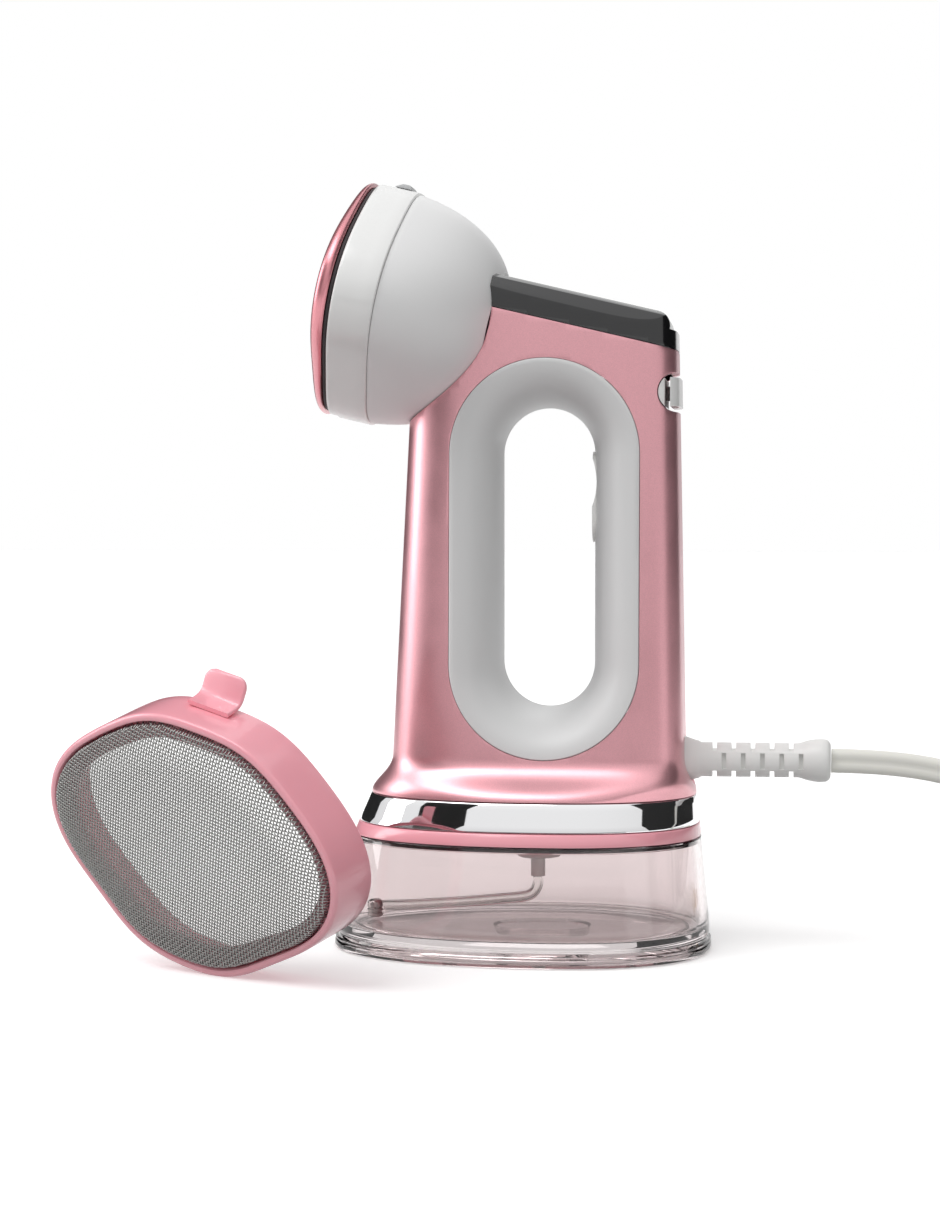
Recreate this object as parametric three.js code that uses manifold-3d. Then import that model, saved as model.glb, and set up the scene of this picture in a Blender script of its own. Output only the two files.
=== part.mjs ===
// A hand-held garment steamer standing on its clear water tank, with its slip-on
// fabric guard leaning beside the tank and its mains lead coiled behind the heel.
// Millimetres, +Z up. The steam face looks towards -X, the lead leaves towards +X,
// and the origin is on the floor at the centre of the tank's foot.
import * as THREE from 'three';
import { mergeVertices } from 'three/addons/utils/BufferGeometryUtils.js';
import Module from 'manifold-3d';

const wasm = await Module();
wasm.setup();

// ---- driving dimensions ----

const GAP = 0.3; // between pieces that touch
const SPLIT_X = 8.9; // the centre of the handle hole, where every outline turns from front to rear
const WALL = 2.3; // moulded shell

// foot, tank and base: distances from SPLIT_X to the front and to the rear, and half the depth
const FOOT = { z: 0, front: 72.3, rear: 54.4, half: 47 };
const TANK_TOP = { z: 36, front: 65.9, rear: 50.9, half: 42.2 };
const BASE_FOOT = { z: 38, front: 65.3, rear: 50.7, half: 41.6 };
const BAND_FOOT = { z: 42.2, front: 63.6, rear: 50.2, half: 40.6 };
const BASE_TOP = { z: 52, front: 59.3, rear: 49.1, half: 37 };
const BASE_ROUND = 2.3; // exponent of the base's egg-shaped outline

// the post above the base, with its flare
const POST_FOOT = { z: 65, front: 51.8, rear: 45.3, half: 26.5 };
const POST_TOP = { z: 205, front: 44.7, rear: 42.6, half: 22.5 };
const POST_ROUND_FRONT = 3.4;
const POST_ROUND_REAR = 5.5;
const POST_END_Z = 236; // where the plain post would end before it is trimmed

// the tank's own walls
const TANK_WALL = 2.6;
const TANK_FLOOR_Z = 7.4;
const TANK_UNDERSIDE_Z = 4.6;

// the head, in its own tilted frame: x back into the handle, z up the steam plate
const HEAD_X = -55.6;
const HEAD_Z = 215.4;
const HEAD_TILT = THREE.MathUtils.degToRad(13.3);
const HEAD_MEAN = 44.45; // mean radius of the head's outline
const HEAD_LIFT = 0.77; // reaches higher above its axis than below
const HEAD_OVAL = 6.41; // wider than it is tall by four times this
const HEAD_SHIELD = 0.84; // cut away under each side point
const HEAD_SQUARE = 2.08; // fuller at the top, the bottom and the side points
const HEAD_FLATS = 0.95; // straightens the six sides between the corners
const COLLAR_DEPTH = 13.9;
const DOME_REACH = 51; // where the dome's curve would close
const DOME_END = 47; // where its open neck ends inside the post
const DOME_POWER_Z = 2.5;
const DOME_POWER_Y = 2.2;
const PLATE_CROWN = 3.4;

// the slanted top of the post and its cover, in the head's frame
const TRIM_Z = 7.2;
const COVER_DEPTH = 10.8;
const COVER_CHAMFER = 5.2;
const COVER_END_ROUND = 5;

// handle hole: a stadium
const HOLE_Z = 129.8;
const HOLE_STRAIGHT = 68.5;
const HOLE_R = 15.3;
const LINER_R = 31;
const LINER_WALL = 2.2;
const LINER_PROUD = 0.4;

// steam trigger, in the rear side of the handle hole
const TRIGGER_Z = 150;
const TRIGGER_LENGTH = 30;
const TRIGGER_WIDTH = 15;
const TRIGGER_PROUD = 0.7;
const TRIGGER_DIP_Z = 154.8;
const TRIGGER_TRAVEL = 2.5;

// rear button and its bezel
const BUTTON_Z = 184;
const BUTTON_HEIGHT = 9.4;
const BUTTON_PROUD = 0.8;
const BUTTON_DEPTH = 2.4;
const BUTTON_TRAVEL = 1.5;
const SCOOP_R = 6.5;

// tank release, on the far side of the base
const RELEASE_WIDTH = 20;
const RELEASE_HEIGHT = 6.4;
const RELEASE_TRAVEL = 2;

// strain relief and cord
const RELIEF_Z = 63;
const RELIEF_BALL_R = 8;
const RELIEF_R = 5.7;
const RELIEF_END_R = 7.2;
const RELIEF_END_X = 102;
const RELIEF_X = 43; // its inner end, inside the post
const RELIEF_NECK_R = 4.6;
const CORD_WIDTH = 8;
const CORD_THICK = 4.4;
const COIL_X = 254;
const COIL_Y = 34;
const COIL_R = 45.4; // middle of the turns
const COIL_TURNS_WIDE = 5;
const COIL_LAYERS = 2;
const CORD_PITCH = 4.8;

// water inlet under the base
const INLET_X = 5.6;
const INLET_BOSS_R = 7.4;
const DIP_R = 1.75;
const FILTER_X = -50;
const FILTER_R = 2.7;

// fabric guard
const GUARD_DEPTH = 18;
const GUARD_WALL = 2;
const GUARD_CLEAR = 0.8; // round the head's collar
const GUARD_LIP = 2.3; // from the outer wall in to the mesh opening
const GUARD_X = -97.4;
const GUARD_Y = -75.2;
const GUARD_ROLL = THREE.MathUtils.degToRad(15);
const GUARD_PITCH = THREE.MathUtils.degToRad(13.2);
const GUARD_YAW = THREE.MathUtils.degToRad(-27.2);
const FLOOR_GAP = 0.02;

// ---- closed solids and booleans ----

// One closed surface with shared corners, no slivers, and its faces pointing out.
function closed(geometry) {
  const g = geometry.clone();
  for (const name of Object.keys(g.attributes)) {
    if (name !== 'position') g.deleteAttribute(name);
  }
  const merged = mergeVertices(g, 1e-4);
  const old = merged.index.array;
  const index = [];
  for (let i = 0; i < old.length; i += 3) {
    const [a, b, c] = [old[i], old[i + 1], old[i + 2]];
    if (a !== b && b !== c && c !== a) index.push(a, b, c);
  }
  merged.setIndex(index);
  if (signedVolume(merged) < 0) {
    for (let i = 0; i < index.length; i += 3) {
      [index[i], index[i + 1]] = [index[i + 1], index[i]];
    }
    merged.setIndex(index);
  }
  return merged;
}

function signedVolume(g) {
  const p = g.attributes.position;
  const [a, b, c] = [new THREE.Vector3(), new THREE.Vector3(), new THREE.Vector3()];
  let sum = 0;
  for (let i = 0; i < g.index.count; i += 3) {
    a.fromBufferAttribute(p, g.index.getX(i));
    b.fromBufferAttribute(p, g.index.getX(i + 1));
    c.fromBufferAttribute(p, g.index.getX(i + 2));
    sum += a.dot(b.cross(c)) / 6;
  }
  return sum;
}

function toSolid(geometry) {
  const g = closed(geometry);
  return new wasm.Manifold(new wasm.Mesh({
    numProp: 3,
    vertProperties: new Float32Array(g.attributes.position.array),
    triVerts: new Uint32Array(g.index.array),
  }));
}

function toGeometry(solid) {
  const mesh = solid.getMesh();
  const g = new THREE.BufferGeometry();
  g.setAttribute('position', new THREE.BufferAttribute(new Float32Array(mesh.vertProperties), 3));
  g.setIndex(Array.from(mesh.triVerts));
  return g;
}

function cut(geometry, ...tools) {
  return toGeometry(tools.reduce((s, t) => s.subtract(toSolid(t)), toSolid(geometry)));
}

function join(geometry, ...others) {
  return toGeometry(others.reduce((s, t) => s.add(toSolid(t)), toSolid(geometry)));
}

function common(geometry, ...others) {
  return toGeometry(others.reduce((s, t) => s.intersect(toSolid(t)), toSolid(geometry)));
}

// ---- forms ----

// A turned form whose rings are bent to an outline. Each row is one ring, or one
// point where row.axis is true, and place(row, angle) says where it goes.
function bent(rows, segments, place) {
  const profile = rows.map((row, j) => new THREE.Vector2(row.axis ? 0 : 1, j));
  const g = new THREE.LatheGeometry(profile, segments);
  const p = g.attributes.position;
  for (let i = 0; i <= segments; i++) {
    const angle = (2 * Math.PI * (i % segments)) / segments;
    rows.forEach((row, j) => {
      const v = place(row, angle);
      p.setXYZ(i * rows.length + j, v.x, v.y, v.z);
    });
  }
  return closed(g);
}

function power(value, exponent) {
  return Math.sign(value) * Math.abs(value) ** exponent;
}

function mix(a, b, t) {
  return a + (b - a) * t;
}

function mixStation(a, b, z) {
  const t = (z - a.z) / (b.z - a.z);
  return {
    front: mix(a.front, b.front, t),
    rear: mix(a.rear, b.rear, t),
    half: mix(a.half, b.half, t),
  };
}

// The base's outline at a height: an egg, longer towards the front.
function baseAt(z) {
  const stations = [FOOT, TANK_TOP, BASE_FOOT, BAND_FOOT, BASE_TOP];
  let k = 0;
  while (k < stations.length - 2 && z > stations[k + 1].z) k++;
  return mixStation(stations[k], stations[k + 1], z);
}

function placeBase(row, angle) {
  if (row.axis) return new THREE.Vector3(SPLIT_X, 0, row.z);
  const o = baseAt(row.z);
  const share = row.share ?? 1;
  const inset = row.inset ?? 0;
  const [c, s] = [Math.cos(angle), Math.sin(angle)];
  const reach = (c > 0 ? o.rear : o.front) * share - inset;
  const half = o.half * share - inset;
  return new THREE.Vector3(
    SPLIT_X + reach * power(c, 2 / BASE_ROUND),
    half * power(s, 2 / BASE_ROUND),
    row.z,
  );
}

// How far the flare has opened at a height: 0 on the post, 1 at the base's top.
function flareAt(z) {
  if (z >= POST_FOOT.z) return 0;
  const t = Math.min(1, (POST_FOOT.z - z) / (POST_FOOT.z - BASE_TOP.z)) ** 1.3;
  return t * t * (3 - 2 * t);
}

function placePost(row, angle) {
  if (row.axis) return new THREE.Vector3(SPLIT_X, 0, row.z);
  const o = mixStation(POST_FOOT, POST_TOP, row.z);
  const open = flareAt(row.z);
  const inset = row.inset ?? 0;
  const [c, s] = [Math.cos(angle), Math.sin(angle)];
  const reach = c > 0 ? mix(o.rear, BASE_TOP.rear, open) : mix(o.front, BASE_TOP.front, open);
  const round = mix(c > 0 ? POST_ROUND_REAR : POST_ROUND_FRONT, BASE_ROUND, open);
  const half = mix(o.half, BASE_TOP.half, open);
  return new THREE.Vector3(
    SPLIT_X + (reach - inset) * power(c, 2 / round),
    (half - inset) * power(s, 2 / round),
    row.z,
  );
}

const POST_SEGMENTS = 32;

// The whole post as a plain closed form, its surface moved in by inset.
function postForm(inset = 0, from = BASE_TOP.z, to = POST_END_Z) {
  const flare = [0, 0.15, 0.35, 0.55, 0.75, 1]
    .map((t) => mix(BASE_TOP.z, POST_FOOT.z, t));
  const heights = [from, ...flare.filter((z) => z > from), to];
  const rings = heights.map((z) => ({ z, inset }));
  return bent([{ axis: true, z: from }, ...rings, { axis: true, z: to }], POST_SEGMENTS, placePost);
}

// Half the post's depth at a place on its side face.
function sideFace(x, z) {
  const o = mixStation(POST_FOOT, POST_TOP, z);
  const t = Math.min(0.98, Math.abs(x - SPLIT_X) / (x > SPLIT_X ? o.rear : o.front));
  const round = x > SPLIT_X ? POST_ROUND_REAR : POST_ROUND_FRONT;
  return o.half * (1 - t ** round) ** (1 / round);
}

function box(x0, x1, y0, y1, z0, z1) {
  const g = new THREE.BoxGeometry(x1 - x0, y1 - y0, z1 - z0);
  return g.translate((x0 + x1) / 2, (y0 + y1) / 2, (z0 + z1) / 2);
}

// A cylinder between two heights.
function rod(x, y, z0, z1, r, sides = 16) {
  const g = new THREE.CylinderGeometry(r, r, z1 - z0, sides).rotateX(Math.PI / 2);
  return g.translate(x, y, (z0 + z1) / 2);
}

// A cylinder along X.
function rodX(x0, x1, y, z, r, sides = 16) {
  const g = new THREE.CylinderGeometry(r, r, x1 - x0, sides).rotateZ(Math.PI / 2);
  return g.translate((x0 + x1) / 2, y, z);
}

// A cylinder along Y.
function rodY(x, y0, y1, z, r, sides = 24) {
  const g = new THREE.CylinderGeometry(r, r, y1 - y0, sides);
  return g.translate(x, (y0 + y1) / 2, z);
}

// A stadium prism through the whole depth.
function stadium(r, straight, depth) {
  const shape = new THREE.Shape();
  shape.absarc(0, straight / 2, r, 0, Math.PI, false);
  shape.absarc(0, -straight / 2, r, Math.PI, 2 * Math.PI, false);
  const g = new THREE.ExtrudeGeometry(shape, { depth, bevelEnabled: false, curveSegments: 12 });
  return g.rotateX(Math.PI / 2).translate(SPLIT_X, depth / 2, HOLE_Z);
}

// A round or flat tube along a path.
function tube(path, rx, ry, steps, sides = 8) {
  const shape = new THREE.Shape();
  for (let i = 0; i < sides; i++) {
    const a = (2 * Math.PI * (i + 0.5)) / sides;
    if (i === 0) shape.moveTo(rx * Math.cos(a), ry * Math.sin(a));
    else shape.lineTo(rx * Math.cos(a), ry * Math.sin(a));
  }
  shape.closePath();
  return new THREE.ExtrudeGeometry(shape, { steps, extrudePath: path, bevelEnabled: false });
}

function smooth(points) {
  return new THREE.CatmullRomCurve3(points.map((p) => new THREE.Vector3(...p)), false, 'centripetal');
}

// A compression spring along X or Y.
class Helix extends THREE.Curve {
  constructor(start, axis, length, r, turns) {
    super();
    Object.assign(this, { start, axis, length, r, turns });
  }

  getPoint(t, target = new THREE.Vector3()) {
    const a = 2 * Math.PI * this.turns * t;
    const along = this.length * t;
    const [u, v] = [this.r * Math.cos(a), this.r * Math.sin(a)];
    if (this.axis === 'x') return target.set(along, u, v).add(this.start);
    return target.set(u, along, v).add(this.start);
  }
}

const SPRING_WIRE_R = 0.4;
const SPRING_END = SPRING_WIRE_R + GAP; // from the wire's centre to the part it pushes on

function spring(start, axis, length, r, turns) {
  const helix = new Helix(new THREE.Vector3(...start), axis, length, r, turns);
  return tube(helix, SPRING_WIRE_R, SPRING_WIRE_R, turns * 8, 5);
}

// ---- colours ----

const FINISH = {
  rose_metal: { color: 0xd6969e, roughness: 0.32, metalness: 0.85 },
  rose_gloss: { color: 0xf5aab6, roughness: 0.2, metalness: 0 },
  white: { color: 0xf0f0ee, roughness: 0.25, metalness: 0 },
  white_satin: { color: 0xe6e6e4, roughness: 0.5, metalness: 0 },
  black: { color: 0x1a1a1c, roughness: 0.12, metalness: 0 },
  rubber: { color: 0x222224, roughness: 0.8, metalness: 0 },
  chrome: { color: 0xe8e8ec, roughness: 0.05, metalness: 1 },
  clear: { color: 0xe0c8c8, roughness: 0.05, metalness: 0, transparent: true, opacity: 0.35 },
  steel: { color: 0xb8b8b8, roughness: 0.35, metalness: 1 },
  aluminium: { color: 0xc8c8ca, roughness: 0.45, metalness: 1 },
  brass: { color: 0xc9a24a, roughness: 0.35, metalness: 1 },
  board: { color: 0x2d6b45, roughness: 0.5, metalness: 0 },
  grey: { color: 0x8a8c8e, roughness: 0.5, metalness: 0 },
  cord: { color: 0xe9e8e2, roughness: 0.5, metalness: 0 },
  mesh: { color: 0x9a9a98, roughness: 0.4, metalness: 0.7 },
};

function piece(name, geometry, finish) {
  const mesh = new THREE.Mesh(closed(geometry), new THREE.MeshStandardMaterial(FINISH[finish]));
  mesh.name = name;
  return mesh;
}

const steamer = new THREE.Group();
const head = new THREE.Group();
head.position.set(HEAD_X, 0, HEAD_Z);
head.rotation.y = HEAD_TILT;
head.updateMatrix();
const guard = new THREE.Group();
steamer.add(head, guard);

// ---- head ----

// Distance from the head's axis to its outline, at an angle from straight up.
function headRadius(angle) {
  return HEAD_MEAN
    + HEAD_LIFT * Math.cos(angle)
    - HEAD_OVAL * Math.cos(2 * angle)
    - HEAD_SHIELD * Math.cos(3 * angle)
    + HEAD_SQUARE * Math.cos(4 * angle)
    - HEAD_FLATS * Math.cos(6 * angle);
}

const HEAD_SEGMENTS = 32;

function placeHead(row, angle) {
  if (row.axis) return new THREE.Vector3(row.x, 0, 0);
  const r = headRadius(angle) * (row.share ?? 1) - (row.inset ?? 0);
  return new THREE.Vector3(row.x, r * Math.sin(angle), r * Math.cos(angle));
}

// The dome narrows a little faster across than up and down.
function placeDome(row, angle) {
  if (row.axis) return new THREE.Vector3(row.x, 0, 0);
  const t = Math.max(0, row.x) / DOME_REACH;
  const r = headRadius(angle) - row.inset;
  const across = (1 - t ** DOME_POWER_Y) ** (1 / DOME_POWER_Y);
  const up = (1 - t ** DOME_POWER_Z) ** (1 / DOME_POWER_Z);
  return new THREE.Vector3(row.x, r * across * Math.sin(angle), r * up * Math.cos(angle));
}

const DOME_X0 = COLLAR_DEPTH + GAP;

function domeRows(inset, from, to) {
  const count = 6;
  const rows = [];
  for (let i = 0; i <= count; i++) {
    const t = Math.sin((Math.PI / 2) * (i / count));
    rows.push({ x: mix(from, to, t), inset });
  }
  return rows;
}

function headDome() {
  const outer = domeRows(0, DOME_X0, DOME_END);
  const inner = domeRows(WALL, DOME_X0, DOME_END).reverse();
  return bent([...outer, ...inner, outer[0]], HEAD_SEGMENTS, placeDome);
}

// The dome and collar as one plain solid, swollen by the gap, to cut its neighbours.
function headClearance() {
  const swell = -2 * GAP;
  const end = DOME_END + 3;
  const g = bent([{ axis: true, x: -10 }, { x: -10, inset: swell }, { x: 0, inset: swell },
    ...domeRows(swell, DOME_X0, DOME_END), { x: end, inset: swell },
    { axis: true, x: end }], HEAD_SEGMENTS, placeDome);
  return g.applyMatrix4(head.matrix);
}

function headCollar() {
  const rim = WALL;
  const catchSlot = box(0.2, 3.6, -9, 9, -HEAD_MEAN, -HEAD_MEAN + 8.6);
  const ring = bent([
    { x: 0.6, inset: 0.5 },
    { x: 1.1, inset: 0 },
    { x: COLLAR_DEPTH, inset: 0 },
    { x: COLLAR_DEPTH, inset: rim },
    { x: 0.6, inset: rim },
    { x: 0.6, inset: 0.5 },
  ], HEAD_SEGMENTS, placeHead);
  return cut(ring, catchSlot);
}

function guardCatch() {
  const top = headRadius(0);
  const profile = new THREE.Shape();
  profile.moveTo(4.4, top + GAP);
  profile.lineTo(10.4, top + GAP);
  profile.lineTo(9.6, top + 2.4);
  profile.lineTo(7.2, top + 2.4);
  profile.closePath();
  const width = 12;
  const g = new THREE.ExtrudeGeometry(profile, { depth: width, bevelEnabled: false });
  return g.rotateX(Math.PI / 2).translate(0, width / 2, 0);
}

function headGasket() {
  return bent([
    { x: -0.7, inset: 1.3 },
    { x: 0.3, inset: 1.3 },
    { x: 0.3, inset: 7 },
    { x: -0.7, inset: 7 },
    { x: -0.7, inset: 1.3 },
  ], HEAD_SEGMENTS, placeHead);
}

const PLATE_BACK = -1;

function steamHoles() {
  const rows = [
    { z: 24, count: 5, pitch: 11 },
    { z: 13, count: 3, pitch: 26 },
    { z: -22, count: 4, pitch: 12 },
  ];
  return rows.flatMap(({ z, count, pitch }) => Array.from({ length: count }, (_, i) => {
    const y = (i - (count - 1) / 2) * pitch;
    return rodX(-PLATE_CROWN - 8, 4, y, z, 1.3, 8);
  }));
}

function soleplate() {
  const plate = bent([
    { axis: true, x: PLATE_BACK },
    { x: PLATE_BACK, inset: 0.7 },
    { x: PLATE_BACK - 0.9, inset: 0.3 },
    { x: PLATE_BACK - 1.5, inset: 1.2 },
    { x: PLATE_BACK - 1.5 - PLATE_CROWN * 0.45, share: 0.82 },
    { x: PLATE_BACK - 1.5 - PLATE_CROWN * 0.8, share: 0.55 },
    { x: PLATE_BACK - 1.5 - PLATE_CROWN * 0.96, share: 0.25 },
    { axis: true, x: PLATE_BACK - 1.5 - PLATE_CROWN },
  ], HEAD_SEGMENTS, placeHead);
  return cut(plate, ...steamHoles());
}

const HEATER_FRONT = 0.9;
const HEATER_BACK = 14;

function heaterBlock() {
  const block = bent([
    { axis: true, x: HEATER_FRONT },
    { x: HEATER_FRONT, share: 0.74 },
    { x: HEATER_BACK, share: 0.68 },
    { axis: true, x: HEATER_BACK },
  ], 32, placeHead);
  const chamber = bent([
    { axis: true, x: HEATER_BACK - 7 },
    { x: HEATER_BACK - 7, share: 0.5 },
    { x: HEATER_BACK + 1, share: 0.54 },
    { axis: true, x: HEATER_BACK + 1 },
  ], 32, placeHead);
  return cut(block, chamber);
}

function heaterCover() {
  const x0 = HEATER_BACK + GAP;
  const plate = bent([
    { axis: true, x: x0 },
    { x: x0, share: 0.68 },
    { x: x0 + 2, share: 0.66 },
    { axis: true, x: x0 + 2 },
  ], 32, placeHead);
  return cut(plate, rodX(x0 - 1, x0 + 3, 0, -12, 2.6));
}

const HEATER_COVER_BACK = HEATER_BACK + GAP + 2;

function buildHead() {
  const x = HEATER_COVER_BACK + GAP;
  head.add(
    piece('head_dome', headDome(), 'white_satin'),
    piece('head_collar', headCollar(), 'white'),
    piece('guard_catch', guardCatch(), 'grey'),
    piece('head_gasket', headGasket(), 'rubber'),
    piece('soleplate', soleplate(), 'rose_metal'),
    piece('heater_block', heaterBlock(), 'aluminium'),
    piece('heater_cover', heaterCover(), 'steel'),
    piece('thermostat', rodX(x, x + 6, 0, 10, 6.5), 'steel'),
    piece('thermal_fuse', rodX(x, x + 11, 14, -2, 2), 'brass'),
  );
  [[-20, 12], [20, 12], [-18, -14], [18, -14]].forEach(([y, z], i) => {
    const stud = cut(rodX(x, x + 2.4, y, z, 2.6, 12), box(x + 1.6, x + 3, y - 0.4, y + 0.4, z - 3, z + 3));
    head.add(piece(`heater_screw_${i + 1}`, stud, 'steel'));
  });
}

// ---- post: shells, liners, cover ----

// Everything above the slanted top, in the handle's frame, from a height in the head's frame.
function aboveSlant(z, top = 120) {
  return box(-60, 200, -60, 60, z, z + top).applyMatrix4(head.matrix);
}

function halfSpace(side) {
  return side < 0 ? box(-120, 120, -80, -GAP / 2, -10, 300) : box(-120, 120, GAP / 2, 80, -10, 300);
}

// The scooped recess for the rear button, a round bar across the whole width.
function scoop(r) {
  return rodY(rearFace(BUTTON_Z), -40, 40, BUTTON_Z, r, 32);
}

function rearFace(z) {
  return SPLIT_X + mixStation(POST_FOOT, POST_TOP, z).rear;
}

const BOSS_R = 3.3;
const BOSS_HOLE_R = 1.35;
const BOSS_INSET = 6;
const BOSS_FOOT_Z = BAND_FOOT.z + 0.8;

// Four screw posts stand under the flare, one at each corner of the base.
function bossPlaces() {
  return [45, 135, 225, 315].map((deg) => placeBase(
    { z: BASE_TOP.z, inset: BOSS_INSET }, THREE.MathUtils.degToRad(deg),
  ));
}

function releaseWindow(clear, y0, y1) {
  const w = RELEASE_WIDTH / 2 + clear;
  const h = RELEASE_HEIGHT / 2 + clear;
  return box(SPLIT_X - w, SPLIT_X + w, y0, y1, RELEASE_Z - h, RELEASE_Z + h);
}

const RELEASE_Z = (BAND_FOOT.z + BASE_TOP.z) / 2;

function bodyShells() {
  const tubeForm = cut(postForm(0), postForm(WALL, BASE_TOP.z - 2, POST_END_Z + 2));
  const bosses = bossPlaces().map((p) => common(
    rod(p.x, p.y, BOSS_FOOT_Z, POST_FOOT.z + 6, BOSS_R, 12),
    join(postForm(0.6), placeSkirtCore()),
  ));
  const holes = bossPlaces().map((p) => rod(p.x, p.y, BOSS_FOOT_Z - 1, POST_FOOT.z, BOSS_HOLE_R, 10));
  const rough = cut(
    join(tubeForm, ...bosses),
    ...holes,
    stadium(LINER_R + GAP, HOLE_STRAIGHT, 90),
    headClearance(),
    aboveSlant(TRIM_Z),
    scoop(SCOOP_R),
    rodX(30, 70, 0, RELIEF_Z, RELIEF_BALL_R + GAP, 24),
  );
  return [-1, 1].map((side) => common(rough, halfSpace(side)));
}

// The space just inside the base's skirt, where the screw posts may stand.
function placeSkirtCore() {
  return bent([
    { axis: true, z: BOSS_FOOT_Z },
    { z: BOSS_FOOT_Z, inset: 5.2 },
    { z: BASE_TOP.z, inset: 5.2 },
    { axis: true, z: BASE_TOP.z },
  ], POST_SEGMENTS, placeBase);
}

// Half of the funnel ring that lines the handle hole. Its throat is a quarter
// ellipse that swells towards the hand, and its rim follows the side face.
function gripLiner(side) {
  const steps = 5;
  const outer = [];
  const inner = [];
  for (let i = 0; i <= steps; i++) {
    const a = (Math.PI / 2) * (i / steps);
    outer.push([LINER_R - (LINER_R - HOLE_R) * Math.cos(a), Math.sin(a)]);
    const shrink = LINER_WALL / (LINER_R - HOLE_R);
    inner.push([LINER_R - (LINER_R - HOLE_R) * (1 - shrink) * Math.cos(a), Math.sin(a) * 0.9]);
  }
  const profile = [...outer, ...inner.reverse(), outer[0]].map(([r, y]) => new THREE.Vector2(r, y));
  const segments = 32;
  const g = new THREE.LatheGeometry(profile, segments, Math.PI / segments);
  const p = g.attributes.position;
  const meet = GAP / 2;
  for (let i = 0; i < p.count; i++) {
    const x = SPLIT_X + p.getX(i);
    const z = HOLE_Z + p.getZ(i) + (Math.sign(p.getZ(i)) * HOLE_STRAIGHT) / 2;
    const depth = sideFace(x, z) + LINER_PROUD - meet;
    p.setXYZ(i, x, side * (meet + p.getY(i) * depth), z);
  }
  const ring = closed(g);
  return cut(ring, triggerForm(GAP + 0.1, 8), scoop(SCOOP_R + 2));
}

// The trigger's outline seen from the hole, through the rear side of the liner.
function triggerForm(clear, reach) {
  const x = SPLIT_X + HOLE_R;
  const r = TRIGGER_WIDTH / 2;
  const straight = TRIGGER_LENGTH - TRIGGER_WIDTH;
  const shape = new THREE.Shape();
  shape.absarc(0, straight / 2, r + clear, 0, Math.PI, false);
  shape.absarc(0, -straight / 2, r + clear, Math.PI, 2 * Math.PI, false);
  const depth = reach + 4;
  const g = new THREE.ExtrudeGeometry(shape, { depth, bevelEnabled: false, curveSegments: 8 });
  return g.rotateX(Math.PI / 2).rotateZ(Math.PI / 2).translate(x - 4, 0, TRIGGER_Z);
}

const TRIGGER_FACE_X = SPLIT_X + HOLE_R - TRIGGER_PROUD;
const TRIGGER_CAP = 5.4;
const TRIGGER_STEM = 4;

function steamTrigger() {
  const face = TRIGGER_FACE_X;
  const backX = face + TRIGGER_CAP;
  const cap = common(triggerForm(0, 8), box(face, backX, -20, 20, 100, 200));
  const dipR = 22;
  const dip = rodY(face - dipR + 1.5, -20, 20, TRIGGER_DIP_Z, dipR, 96);
  const stem = box(backX - 1, backX + TRIGGER_STEM, -3, 3, TRIGGER_Z - 4, TRIGGER_Z + 4);
  return join(cut(cap, dip), stem);
}

function topCover() {
  const inBody = common(postForm(0), aboveSlant(TRIM_Z + GAP, COVER_DEPTH + 9));
  const c = COVER_CHAMFER;
  const top = TRIM_Z + GAP + COVER_DEPTH;
  const halfWide = 23.5;
  const section = new THREE.Shape();
  section.moveTo(-halfWide - 4, TRIM_Z - 4);
  section.lineTo(halfWide + 4, TRIM_Z - 4);
  section.lineTo(halfWide + 4, top - c);
  section.lineTo(halfWide - 1, top - c);
  section.lineTo(halfWide - 4.6, top - 1.1);
  section.lineTo(halfWide - 7.6, top);
  section.lineTo(-halfWide + 7.6, top);
  section.lineTo(-halfWide + 4.6, top - 1.1);
  section.lineTo(-halfWide + 1, top - c);
  section.lineTo(-halfWide - 4, top - c);
  section.closePath();
  const depth = 160;
  const ridge = new THREE.ExtrudeGeometry(section, { depth, bevelEnabled: false })
    .rotateX(Math.PI / 2).rotateZ(Math.PI / 2);
  ridge.applyMatrix4(head.matrix);
  const rear = new THREE.Shape();
  const endX = rearFace(POST_TOP.z) - HEAD_X;
  const r = COVER_END_ROUND;
  rear.moveTo(0, -40);
  rear.lineTo(endX + 12, -40);
  rear.lineTo(endX + 12, top - r);
  rear.lineTo(endX - 2.5, top - r);
  rear.absarc(endX - 2.5 - r, top - r, r, 0, Math.PI / 2, false);
  rear.lineTo(endX - 3 - r, top + 4);
  rear.lineTo(0, top + 4);
  rear.closePath();
  const side = new THREE.ExtrudeGeometry(rear, { depth: 90, bevelEnabled: false, curveSegments: 5 })
    .rotateX(Math.PI / 2).translate(0, 45, 0);
  side.applyMatrix4(head.matrix);
  const hollow = common(postForm(WALL), aboveSlant(TRIM_Z - 1, COVER_DEPTH - c));
  return cut(common(inBody, ridge, side), hollow, headClearance());
}

function rearBezel() {
  const plug = common(scoop(SCOOP_R - GAP), postForm(GAP));
  const inner = postForm(WALL + 3);
  const pocket = box(
    rearFace(BUTTON_Z) - BUTTON_DEPTH - BUTTON_TRAVEL - GAP, rearFace(BUTTON_Z) + 5, -40, 40,
    BUTTON_Z - SCOOP_R - 1, BUTTON_Z + SCOOP_R + 1,
  );
  const stem = rodX(30, 60, 0, BUTTON_Z, 2.5 + GAP, 16);
  return cut(plug, pocket, stem, inner);
}

const BUTTON_STEM = 5;

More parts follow.
